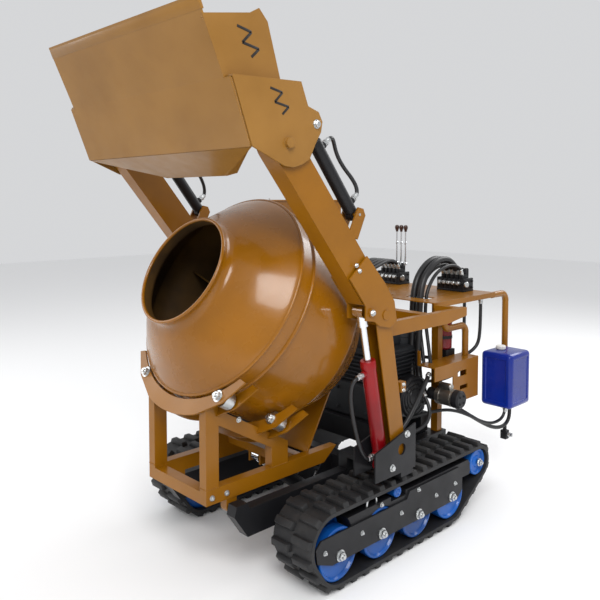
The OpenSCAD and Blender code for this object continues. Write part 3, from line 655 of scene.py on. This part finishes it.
# ---------------------------------------------------------------------------
# The loading bucket: folded 6 mm plate with a bar along its cutting edge, a step
# in its floor plate, ear plates outside the arms and a sloped funnel beneath.
# The bucket's yellow is paler and greyer than the other enamel: a painted reflection of the pale sky on its
# sheets.
bucket_yellow_painted_reflection = enamel("bucket_enamel_painted_reflection", "#91672B", "#81591F", 0.34, coat=0.2, peel_mm=5.0)
for node in ("bucket_shell", "bucket_ears"):
    coat(node, bucket_yellow_painted_reflection)
bucket_pin = Vector(joint("bucket_tilt")["pos_m"])
BLADE_Y, BLADE_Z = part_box("bucket_shell")[0][1], 2125 * MM
HALF = 520 * MM
EAR = 556 * MM
LEAN = math.radians(22.5)


def bar(bm, a, b, width, depth, bevel=2 * MM, up=(0, 0, 1)):
    """A square bar from a to b, width across up and depth along it."""
    a, b = Vector(a), Vector(b)
    run = (b - a).normalized()
    side = run.cross(Vector(up)).normalized()
    top = side.cross(run)
    m = Matrix((side, top, run)).transposed().to_4x4()
    m.translation = (a + b) / 2
    made = bmesh.ops.create_cube(bm, size=1.0)["verts"]
    for v in made:
        v.co = Vector((v.co.x * width, v.co.y * depth, v.co.z * (b - a).length))
    edges = list({e for v in made for e in v.link_edges})
    done = bmesh.ops.bevel(
        bm, geom=edges, offset=bevel, segments=2, profile=0.5, affect="EDGES", material=-1
    )
    verts = list({v for f in done["faces"] for v in f.verts} | {v for v in made if v.is_valid})
    bmesh.ops.transform(bm, matrix=m, verts=verts)
    for v in verts:
        v.tag = True


def weld(bm, a, b, radius):
    """A weld bead from a to b: a low rope of overlapping beads."""
    a, b = Vector(a), Vector(b)
    count = max(2, int((b - a).length / (radius * 1.6)))
    for k in range(count + 1):
        centre = a.lerp(b, k / count)
        made = bmesh.ops.create_icosphere(bm, subdivisions=1, radius=radius)["verts"]
        bmesh.ops.translate(bm, verts=made, vec=centre)
        for v in made:
            v.tag = True


bm = bmesh.new()
blade = Vector((0, math.sin(-LEAN), math.cos(LEAN)))
top = Vector((0, BLADE_Y + 15 * MM, BLADE_Z - 20 * MM))
bar(bm, top + Vector((-HALF - 3 * MM, 0, 0)), top + Vector((HALF + 3 * MM, 0, 0)), 12 * MM, 46 * MM,
    2 * MM, blade)
for side in (1, -1):
    for x, (y0, z0), (y1, z1) in (
        (HALF - 9 * MM, (-1000, 1900), (-1086, 2062)),
        (HALF + 2 * MM, (-990, 1896), (-760, 1901)),
        (EAR - 8 * MM, (-928, 1680), (-1000, 1880)),
    ):
        weld(bm, (side * x, y0 * MM, z0 * MM), (side * x, y1 * MM, z1 * MM), 3.5 * MM)
finish_piece(bm, "bucket_edge_bar", bucket_yellow_painted_reflection, "bucket", 40.0)

bm = bmesh.new()
eye = Vector((0, bucket_pin.y + 134.5 * MM, bucket_pin.z + 73 * MM))
for side in (1, -1):
    for at, size in ((bucket_pin, 24 * MM), (eye, 22 * MM)):
        bolt(bm, (side * EAR, at.y, at.z), (side, 0, 0), size, False)
finish_piece(bm, "bucket_pin_nuts", zinc, "bucket")

# Black stencil strokes on both sides of the bucket: plain zigzags.
stencil, tree, shader, _ = blank_material("black_stencil_paint")
shader.inputs["Base Color"].default_value = linear("#1A1512")
shader.inputs["Roughness"].default_value = 0.5


def zigzag(bm, centre, size, side):
    """A zigzag stroke standing 1 mm proud of a plate that faces along X."""
    path = [(-0.5, 0.42), (0.1, 0.30), (-0.28, -0.08), (0.42, -0.2), (0.1, -0.5)]
    wide = 0.09
    for (y0, z0), (y1, z1) in zip(path, path[1:]):
        a = Vector((side * centre[0], centre[1] + y0 * size, centre[2] + z0 * size))
        b = Vector((side * centre[0], centre[1] + y1 * size, centre[2] + z1 * size))
        bar(bm, a, b, 1.2 * MM, wide * size, 0.3 * MM, (0, (b - a).z, -(b - a).y))


bm = bmesh.new()
for side in (1, -1):
    zigzag(bm, (HALF + 0.4 * MM, -905 * MM, 2015 * MM), 100 * MM, side)
    zigzag(bm, (EAR + 0.4 * MM, -800 * MM, 1830 * MM), 90 * MM, side)
finish_piece(bm, "bucket_marks", stencil, "bucket")

# ---------------------------------------------------------------------------
# Boom and mast hardware: plated bolts on the arms, the mast brackets and the masts.
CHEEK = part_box("boom_arm_left")[1][0]
bm = bmesh.new()
lift_eye = Vector((0, -320 * MM, 1059 * MM))
tilt_base = Vector(joint("tilt_left_swing")["pos_m"])
for side in (1, -1):
    bolt(bm, (side * CHEEK, lift_eye.y, lift_eye.z), (side, 0, 0), 17 * MM, False)
    bolt(bm, (side * (525 * MM), tilt_base.y, tilt_base.z), (side, 0, 0), 20 * MM)
    for y, z in ((-410, 1250), (-392, 1228)):
        bolt(bm, (side * (CHEEK - 6 * MM), y * MM, z * MM), (side, 0, 0), 12 * MM)
finish_piece(bm, "boom_bolts", zinc, "boom")

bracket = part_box("mast_bracket_left")
bm = bmesh.new()
for side in (1, -1):
    for y, z in ((-189, 408), (-93, 527)):
        bolt(bm, (side * bracket[1][0], y * MM, z * MM), (side, 0, 0), 20 * MM, False)
    for z in (708, 732):
        bolt(bm, (side * 538 * MM, -95 * MM, z * MM), (side, 0, 0), 11 * MM)
finish_piece(bm, "mast_bolts", zinc, "chassis")

# ---------------------------------------------------------------------------
# The engine: a cast iron single under black heatproof paint, with a finned block,
# a water hopper on top, side covers held by bolts, and an air cleaner can.
iron = enamel("heatproof_iron_paint", "#2A2C2F", "#17181A", 0.55, coat=0.0, peel_mm=1.6)


def block(bm, low, high, bevel, taper=1.0):
    """A bevelled block between two corners, its top narrower by taper."""
    size = [b - a for a, b in zip(low, high)]
    middle = [(a + b) / 2 for a, b in zip(low, high)]
    bevel_block(bm, size, Matrix.Translation(middle), bevel, taper)


(ex0, ey0, ez0), (ex1, ey1, ez1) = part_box("engine")
bm = bmesh.new()
block(bm, (ex0, ey0, ez0), (ex1 - 6 * MM, ey1, ez0 + 175 * MM), 18 * MM)
block(bm, (ex0 + 25 * MM, ey0 + 30 * MM, ez0 + 165 * MM),
      (ex1 - 30 * MM, ey1 - 40 * MM, ez0 + 350 * MM), 14 * MM)
for k in range(8):
    level = ez0 + (186 + 20 * k) * MM
    block(bm, (ex0 + 8 * MM, ey0 + 14 * MM, level), (ex1 - 14 * MM, ey1 - 24 * MM, level + 7 * MM), 2 * MM)
block(bm, (ex0 + 40 * MM, ey0 + 40 * MM, ez0 + 345 * MM),
      (100 * MM, ey1 - 80 * MM, ez1 - 12 * MM), 22 * MM, 0.94)
block(bm, (-90 * MM, ey0 + 90 * MM, ez1 - 14 * MM), (10 * MM, ey0 + 190 * MM, ez1), 6 * MM, 0.8)
for x, y, radius, tall in ((60, 505, 62, 96), (-170, 505, 40, 70)):
    keep(bm)
    can = [(0, 0), (radius, 0), (radius, tall * 0.3), (radius * 0.94, tall * 0.34), (radius, tall * 0.38),
           (radius, tall * 0.9), (radius * 0.88, tall), (radius * 0.2, tall), (0, tall * 1.04)]
    spun(bm, [(r * MM, h * MM) for r, h in can], facing((x * MM, y * MM, 750 * MM), (0, 0, 1)), 40)
for x in range(-200, 181, 95):
    for y, side in ((ey0, -1), (ey1, 1)):
        bolt(bm, (x * MM, y, ez0 + 40 * MM), (0, side, 0), 14 * MM)
        bolt(bm, (x * MM, y, ez0 + 140 * MM), (0, side, 0), 14 * MM)
engine_piece = finish_piece(bm, "engine_block", iron, "chassis")
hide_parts("engine")

# ---------------------------------------------------------------------------
# Belt cover: a pressed steel dish with rolled ribs over the pump drive, bolted on.
low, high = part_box("belt_cover")
belt_y, belt_z = (low[1] + high[1]) / 2, (low[2] + high[2]) / 2
disc_r, deep = (high[1] - low[1]) / 2, high[0] - low[0]
ribs = [(0, 0), (disc_r * 0.98, 0), (disc_r, 3 * MM), (disc_r, deep - 10 * MM),
        (disc_r - 8 * MM, deep - 1 * MM)]
for share in (0.82, 0.62, 0.42):
    centre = disc_r * share
    ribs += [(centre + 5 * MM, deep - 1 * MM), (centre + 2 * MM, deep - 5 * MM),
             (centre - 2 * MM, deep - 5 * MM), (centre - 5 * MM, deep - 1 * MM)]
bm = bmesh.new()
spun(bm, ribs + [(0, deep - 1 * MM)], facing((low[0], belt_y, belt_z), (1, 0, 0)), 64)
for turn in range(30, 390, 60):
    at = Vector((high[0] - 3 * MM, belt_y + disc_r * 0.72 * math.cos(math.radians(turn)),
                 belt_z + disc_r * 0.72 * math.sin(math.radians(turn))))
    bolt(bm, at, (1, 0, 0), 12 * MM)
cover = finish_piece(bm, "belt_cover_dish", black, "chassis")
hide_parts("belt_cover")

# ---------------------------------------------------------------------------
# The silencer: a turned steel can with a black end cap, a neck towards the belt
# cover, two clamp bands, and a small canister on top.
turned = metal("turned_mild_steel", "#A5A29C", 0.3, 0.1)
low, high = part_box("muffler")
sy, sz, sr = (low[1] + high[1]) / 2, (low[2] + high[2]) / 2, (high[2] - low[2]) / 2
nose, body_from, cap_from = low[0], 300 * MM, 402 * MM
bm = bmesh.new()
along_x = facing((body_from, sy, sz), (1, 0, 0))
long = cap_from - body_from
spun(bm, [(0, 0), (sr - 6 * MM, 0), (sr - 3 * MM, 3 * MM), (sr - 3 * MM, long), (0, long)], along_x, 48)
for along in (18, 82):
    keep(bm)
    band = along_x @ Matrix.Translation((0, 0, along * MM))
    spun(bm, [(0, 0), (sr - 1 * MM, 0), (sr - 1 * MM, 9 * MM), (0, 9 * MM)], band, 48)
top_can = facing((body_from + 12 * MM, sy, sz + sr + 8 * MM), (1, 0, 0))
keep(bm)
can = [(0, 0), (15, 0), (17, 3), (17, 66), (14, 70), (0, 70)]
spun(bm, [(r * MM, h * MM) for r, h in can], top_can, 32)
silencer = finish_piece(bm, "silencer_body", turned, "chassis")
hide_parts("muffler")
bm = bmesh.new()
wide = high[0] - cap_from
spun(bm, [(0, 0), (sr, 0), (sr, wide - 8 * MM), (sr - 8 * MM, wide), (0, wide)],
     facing((cap_from, sy, sz), (1, 0, 0)), 48)
keep(bm)
spun(bm, [(0, 0), (30 * MM, 0), (30 * MM, 36 * MM), (22 * MM, body_from - nose), (0, body_from - nose)],
     facing((nose, sy, sz), (1, 0, 0)), 40)
block(bm, (body_from, sy - 12 * MM, sz + sr - 8 * MM), (body_from + 80 * MM, sy + 12 * MM, sz + sr), 3 * MM)
for turn in (math.radians(d) for d in (45, 135, 225, 315)):
    at = Vector((high[0], sy + 24 * MM * math.cos(turn), sz + 24 * MM * math.sin(turn)))
    bolt(bm, at, (1, 0, 0), 9 * MM)
finish_piece(bm, "silencer_ends", black, "chassis")

# ---------------------------------------------------------------------------
# Fuel tank: rotation-moulded blue polyethylene with broad round edges, a shallow
# panel in each side, and a ribbed white screw cap on a short neck.
tank_blue = enamel("moulded_blue_polyethylene", "#0A2A92", "#082078", 0.22, coat=0.3, peel_mm=2.5)
white_cap = enamel("white_polypropylene", "#E9E8E4", "#D8D6D0", 0.4, coat=0.0, peel_mm=2.0)
low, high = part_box("fuel_tank")
tank_top = high[2] - 22 * MM
bm = bmesh.new()
made = bmesh.ops.create_cube(bm, size=1.0)["verts"]
for v in made:
    v.co = Vector(((low[0] + high[0]) / 2 + v.co.x * (high[0] - low[0]),
                   (low[1] + high[1]) / 2 + v.co.y * (high[1] - low[1]),
                   (low[2] + tank_top) / 2 + v.co.z * (tank_top - low[2])))
bmesh.ops.bevel(bm, geom=bm.edges[:], offset=22 * MM, segments=5, profile=0.5, affect="EDGES", material=-1)
flats = [f for f in bm.faces if f.calc_area() > 0.02 and abs(f.normal.z) < 0.5]
bmesh.ops.inset_individual(bm, faces=flats, thickness=12 * MM, depth=0.0)
bmesh.ops.inset_individual(bm, faces=flats, thickness=4 * MM, depth=-4 * MM)
tank = finish_piece(bm, "fuel_tank_moulding", tank_blue, "chassis", 40.0)
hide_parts("fuel_tank")
bm = bmesh.new()
cap_at = Vector((375 * MM, (low[1] + high[1]) / 2, tank_top))
spun(bm, [(0, 0), (22 * MM, 0), (22 * MM, 4 * MM), (26 * MM, 4 * MM), (26 * MM, 18 * MM), (23 * MM, 21 * MM),
          (8 * MM, 21 * MM), (0, 19 * MM)], facing(cap_at, (0, 0, 1)), 48)
for k in range(24):
    turn = Matrix.Rotation(math.radians(15 * k), 4, "Z")
    rib = Matrix.Translation(cap_at) @ turn @ Matrix.Translation((25.6 * MM, 0, 11 * MM))
    bevel_block(bm, (2.4 * MM, 3 * MM, 13 * MM), rib, 0.7 * MM)
finish_piece(bm, "fuel_cap_ribbed", white_cap, "chassis")
coat("guard_tubes", yellow)

# ---------------------------------------------------------------------------
# Fire extinguisher: a red pressed bottle with a black valve and two levers, on a
# black foot, held by two straps.
bottle_red = enamel("red_bottle_enamel", "#8A0812", "#6C060D", 0.24, coat=0.4, peel_mm=3.0)
low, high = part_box("fire_extinguisher")
bx, by, br = 200 * MM, 690 * MM, 44 * MM
foot = 712 * MM
tall = high[2] - foot - 4 * MM
bm = bmesh.new()
bottle = [(0, 0), (br - 6 * MM, 0), (br, 8 * MM), (br, tall - 52 * MM), (br * 0.86, tall - 34 * MM),
          (br * 0.52, tall - 20 * MM), (16 * MM, tall - 12 * MM), (16 * MM, tall), (0, tall)]
spun(bm, bottle, facing((bx, by, foot), (0, 0, 1)), 48)
bottle_piece = finish_piece(bm, "extinguisher_bottle", bottle_red, "chassis")
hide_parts("fire_extinguisher")
bm = bmesh.new()
block(bm, (190 * MM, 650 * MM, 674 * MM), (245 * MM, 730 * MM, foot), 2 * MM)
keep(bm)
spun(bm, [(0, 0), (17 * MM, 0), (17 * MM, 26 * MM), (12 * MM, 34 * MM), (0, 34 * MM)],
     facing((bx, by, high[2] - 6 * MM), (0, 0, 1)), 32)
bar(bm, (bx, by + 10 * MM, high[2] + 30 * MM), (bx, by - 66 * MM, high[2] + 42 * MM), 16 * MM, 4 * MM, 1 * MM)
bar(bm, (bx, by + 10 * MM, high[2] + 16 * MM), (bx, by - 60 * MM, high[2] + 12 * MM), 16 * MM, 4 * MM, 1 * MM)
for level in (56, 140):
    keep(bm)
    strap = facing((bx, by, foot + level * MM), (0, 0, 1))
    spun(bm, [(0, 0), (br + 2 * MM, 0), (br + 2 * MM, 16 * MM), (0, 16 * MM)], strap, 48)
finish_piece(bm, "extinguisher_head", black, "chassis")

# ---------------------------------------------------------------------------
# Hydraulic tank: folded yellow sheet with a bolted lid and a black sight glass in
# its side.
coat("hydraulic_tank", yellow)
low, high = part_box("hydraulic_tank")
lid = 1498 * MM
bm = bmesh.new()
for x in (low[0] + 14 * MM, -355 * MM, high[0] - 14 * MM):
    for y in (low[1] + 14 * MM, 195 * MM, high[1] - 14 * MM):
        bolt(bm, (x, y, lid), (0, 0, 1), 10 * MM)
for level in (1350, 1460):
    bolt(bm, (-500 * MM, 200 * MM, level * MM), (-1, 0, 0), 16 * MM)
finish_piece(bm, "oil_tank_bolts", zinc, "chassis")
bm = bmesh.new()
block(bm, (-506 * MM, 190 * MM, 1362 * MM), (-499 * MM, 210 * MM, 1448 * MM), 2 * MM)
finish_piece(bm, "oil_sight_glass", black, "chassis")

# ---------------------------------------------------------------------------
# Control valves: two stacks of cast slices held by tie rods, each slice with spool
# caps, relief caps and plated hose unions, painted satin black.
deck_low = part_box("control_deck")[0][2]


def valve_stack(tag, node):
    """Builds one stack of valve slices with its unions, and gives the unions' places."""
    (x0, y0, z0), (x1, y1, z1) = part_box(node)
    bm = bmesh.new()
    block(bm, (x0 + 4 * MM, y0 + 6 * MM, z0), (x1 - 4 * MM, y1 - 6 * MM, z0 + 12 * MM), 2 * MM)
    count = 5
    step = (x1 - x0 - 36 * MM) / count
    unions = []
    for k in range(count):
        left = x0 + 18 * MM + k * step
        mid = left + step / 2
        right = left + step
        block(bm, (left + 1 * MM, y0 + 10 * MM, z0 + 10 * MM),
              (right - 1 * MM, y1 - 10 * MM, z0 + 66 * MM), 3 * MM)
        block(bm, (left + 4 * MM, y0 + 22 * MM, z0 + 60 * MM),
              (right - 4 * MM, y1 - 24 * MM, z0 + 92 * MM), 4 * MM)
        keep(bm)
        spun(bm, [(0, 0), (13 * MM, 0), (13 * MM, 34 * MM), (10 * MM, 40 * MM), (0, 40 * MM)],
             facing((mid, y1 - 34 * MM, z0 + 84 * MM), (0, 0, 1)), 24)
        for level in (24, 48):
            keep(bm)
            spun(bm, [(0, 0), (11 * MM, 0), (11 * MM, 8 * MM), (8 * MM, 10 * MM), (0, 10 * MM)],
                 facing((mid, y1 - 11 * MM, z0 + level * MM), (0, 1, 0)), 20)
        unions.append(Vector((mid, y0 + 34 * MM, z0 + 90 * MM)))
    for x, side in ((x0 + 18 * MM, -1), (x1 - 18 * MM, 1)):
        block(bm, (min(x, x + side * 14 * MM), y0 + 8 * MM, z0 + 8 * MM),
              (max(x, x + side * 14 * MM), y1 - 8 * MM, z0 + 72 * MM), 3 * MM)
        for y in (y0 + 24 * MM, y1 - 24 * MM):
            bolt(bm, (x + side * 13 * MM, y, z0 + 22 * MM), (side, 0, 0), 12 * MM)
            bolt(bm, (x + side * 13 * MM, y, z0 + 56 * MM), (side, 0, 0), 12 * MM)
    stack = finish_piece(bm, tag + "_stack", black, "chassis")
    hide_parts(node)
    bm = bmesh.new()
    for at in unions:
        fitting(bm, at, (0, -0.5, 1), 34 * MM, 9 * MM)
        fitting(bm, at + Vector((0, -24 * MM, -44 * MM)), (0, -1, 0.1), 26 * MM, 8 * MM)
    keep(bm)
    gauge = facing((x1 - 10 * MM, y0 + 30 * MM, z0 + 40 * MM), (1, -0.4, 0))
    spun(bm, [(0, 0), (16 * MM, 0), (16 * MM, 14 * MM), (13 * MM, 18 * MM), (0, 18 * MM)], gauge, 32)
    finish_piece(bm, tag + "_unions", zinc, "chassis")
    return unions


left_unions = valve_stack("left_valve", "valve_bank_left")
right_unions = valve_stack("right_valve", "valve_bank_right")

# ---------------------------------------------------------------------------
# Three levers on the far valve: bright steel rods, each with a waisted collar and
# a turned brown knob screwed on its end.
knob_brown = enamel("brown_phenolic", "#3B2014", "#26140C", 0.28, coat=0.4, peel_mm=2.0)
(lx0, ly0, lz0), (_, ly1, _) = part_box("control_levers")
rods, knobs = bmesh.new(), bmesh.new()
ROD = [(0, 0), (11, 0), (11, 12), (6, 18), (5, 120), (8, 124), (8, 136), (5, 140), (5, 202), (0, 202)]
KNOB = [(0, 198), (7, 198), (8, 206), (12, 216), (13, 226), (10, 235), (4, 238), (0, 238)]
for k in range(3):
    lever_x = lx0 + 13 * MM + k * 32 * MM
    at = facing((lever_x, (ly0 + ly1) / 2, lz0), (0, 0, 1))
    keep(rods)
    spun(rods, [(r * MM, h * MM) for r, h in ROD], at, 24)
    keep(knobs)
    spun(knobs, [(r * MM, h * MM) for r, h in KNOB], at, 28)
lever_rods = finish_piece(rods, "lever_rods", chrome, "chassis")
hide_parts("control_levers")
finish_piece(knobs, "lever_knobs", knob_brown, "chassis")

# ---------------------------------------------------------------------------
# Hoses: thick rubber sleeves from the near valve over the deck and down its slot,
# thinner lines to the pump, and a fuel line that loops under the tank.


def chassis_hose(name, points_mm, radius_mm):
    """A hose on the chassis from points and a radius in millimetres."""
    return hose(name, [Vector(point) * MM for point in points_mm], radius_mm * MM, "chassis", 16)


def leave_union(union, lean, rise):
    """The first two points of a hose, in millimetres: off a union, then back and up."""
    top = union / MM + Vector((0, -14, 30))
    return [top, top + Vector((0, -lean, rise))]


for k, (union, x) in enumerate(zip((left_unions[1], left_unions[3]), (134, 176))):
    chassis_hose("deck_sleeve_%d" % k, leave_union(union, 40, 44) + [
        (x, 740, 1186), (x, 640, 1178), (x, 540, 1100), (x, 512, 1010), (x, 506, 920), (x, 508, 830),
        (x, 500, 740), (x + 20, 470, 640), (x + 60, 440, 560)], 17)
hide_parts("deck_hoses")
for k, (union, x) in enumerate(zip((left_unions[0], left_unions[2], left_unions[4]), (120, 155, 196))):
    chassis_hose("deck_line_%d" % k, leave_union(union, 46, 30) + [
        (x, 720, 1150), (x, 620, 1120), (x, 545, 1040), (x, 530, 960), (x, 530, 860),
        (x + 30, 520, 760), (x + 80, 470, 660)], 9)
for k, union in enumerate(right_unions):
    x = union.x / MM + (k - 2) * 6
    chassis_hose("far_line_%d" % k, leave_union(union, 44, 34) + [
        (x, 700, 1140), (x, 560, 1090), (x, 430, 1040), (x, 376, 1000), (x, 366, 920),
        (x + 20, 380, 850)], 10)
for k, (x, foot_z) in enumerate(((205, 560), (305, 700))):
    chassis_hose("drop_line_%d" % k, [
        (x, 880, deck_low / MM + 16), (x, 880, 900), (x, 880, foot_z + 60),
        (x - 10, 860, foot_z), (x - 50, 760, foot_z - 50),
        (x - 110, 640, foot_z - 40), (x - 150, 560, foot_z - 20)], 9)
chassis_hose("fuel_line", [
    (400, 1030, 402), (400, 1036, 350), (396, 1040, 290), (390, 980, 262), (380, 880, 280),
    (360, 760, 350), (330, 650, 420), (300, 580, 470), (262, 540, 500)], 10)
chassis_hose("return_line", [
    (430, 930, 402), (430, 930, 350), (420, 880, 318), (400, 780, 330), (380, 660, 400),
    (330, 540, 452), (290, 440, 440), (240, 330, 420)], 8)
chassis_hose("pump_line_0", [
    (300, 420, 640), (330, 360, 620), (350, 250, 540), (350, 180, 460), (330, 120, 400),
    (300, 60, 350)], 11)
chassis_hose("pump_line_1", [
    (286, 380, 560), (340, 380, 500), (370, 340, 430), (350, 240, 400), (310, 150, 380),
    (280, 80, 340)], 9)
bm = bmesh.new()
block(bm, (372 * MM, 985 * MM, 196 * MM), (408 * MM, 1021 * MM, 244 * MM), 4 * MM)
keep(bm)
stem = facing((390 * MM, 1003 * MM, 242 * MM), (0, 0, 1))
spun(bm, [(0, 0), (10 * MM, 0), (10 * MM, 24 * MM), (0, 24 * MM)], stem, 24)
finish_piece(bm, "drain_valve", black, "chassis")
bm = bmesh.new()
fitting(bm, (408 * MM, 1003 * MM, 222 * MM), (1, 0.2, 0), 26 * MM, 9 * MM)
for at, way in (
    ((205, 880, 974), (0, 0, -1)), ((305, 880, 974), (0, 0, -1)),
    ((400, 1030, 402), (0, 0, -1)), ((430, 930, 402), (0, 0, -1)),
    ((300, 420, 640), (0.5, -1, -0.3)), ((286, 380, 560), (1, 0, -1)),
):
    fitting(bm, [c * MM for c in at], way, 34 * MM, 10 * MM)
finish_piece(bm, "line_fittings", zinc, "chassis")

# ---------------------------------------------------------------------------
# Saddles and support rollers: bright steel rollers on axles through the saddle
# plates, each axle held by a big nut and washer, and the cradle's bolts and welds.
for node in ("front", "rear"):
    for word in ("left", "right"):
        coat("drum_roller_%s_%s" % (node, word), zinc)
WHEEL_A = math.radians(32)
bm = bmesh.new()
for at_t, axle in ((259 * MM, 471 * MM), (560 * MM, 463 * MM)):
    for side in (1, -1):
        middle = drum_place @ Vector((side * axle * math.sin(WHEEL_A), axle * math.cos(WHEEL_A), at_t))
        for way in (1, -1):
            bolt(bm, middle + DRUM_AXIS * way * 38 * MM, DRUM_AXIS * way, 30 * MM)
finish_piece(bm, "saddle_axle_nuts", zinc, "cradle")
bm = bmesh.new()
cradle_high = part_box("cradle_frame")[1]
for side in (1, -1):
    for y, z in ((-700, 640), (-520, 590), (-830, 366), (-760, 366)):
        bolt(bm, (side * cradle_high[0], y * MM, z * MM), (side, 0, 0), 15 * MM)
finish_piece(bm, "cradle_bolts", zinc, "cradle")

# Weld beads where the cradle's tubes meet.
bm = bmesh.new()
for side in (1, -1):
    x = side * cradle_high[0]
    for y in (-857, -797):
        weld(bm, (x - side * 38 * MM, y * MM, 401 * MM), (x - side * 2 * MM, y * MM, 401 * MM), 3 * MM)
    weld(bm, (x - side * 1 * MM, -800 * MM, 401 * MM), (x - side * 1 * MM, -855 * MM, 401 * MM), 3 * MM)
    weld(bm, (x - side * 1 * MM, -530 * MM, 401 * MM), (x - side * 1 * MM, -440 * MM, 401 * MM), 3 * MM)
finish_piece(bm, "cradle_welds", yellow, "cradle")

# ---------------------------------------------------------------------------
# Track frame fittings: plated bolts along the side plates and a round bar staple
# on top of each frame to lift it by.
bm = bmesh.new()
for side in (1, -1):
    for y, z in ((-560, 180), (-350, 186), (-230, 262), (20, 250), (150, 186), (300, 196), (-100, 186)):
        bolt(bm, (side * plate_out, y * MM, z * MM), (side, 0, 0), 13 * MM)
    bolt(bm, (side * plate_out, CIRCLES[2][0], CIRCLES[2][1]), (side, 0, 0), 24 * MM)
finish_piece(bm, "track_frame_bolts", zinc, "chassis")
for word, side in (("left", 1), ("right", -1)):
    x = side * (plate_out - 20 * MM)
    staple = hose("staple_" + word, [
        (x, y * MM, z * MM) for y, z in
        ((-300, 262), (-300, 290), (-290, 300), (-250, 300), (-240, 290), (-240, 262))
    ], 5 * MM, "chassis", 12)
    staple.data.materials[0] = zinc
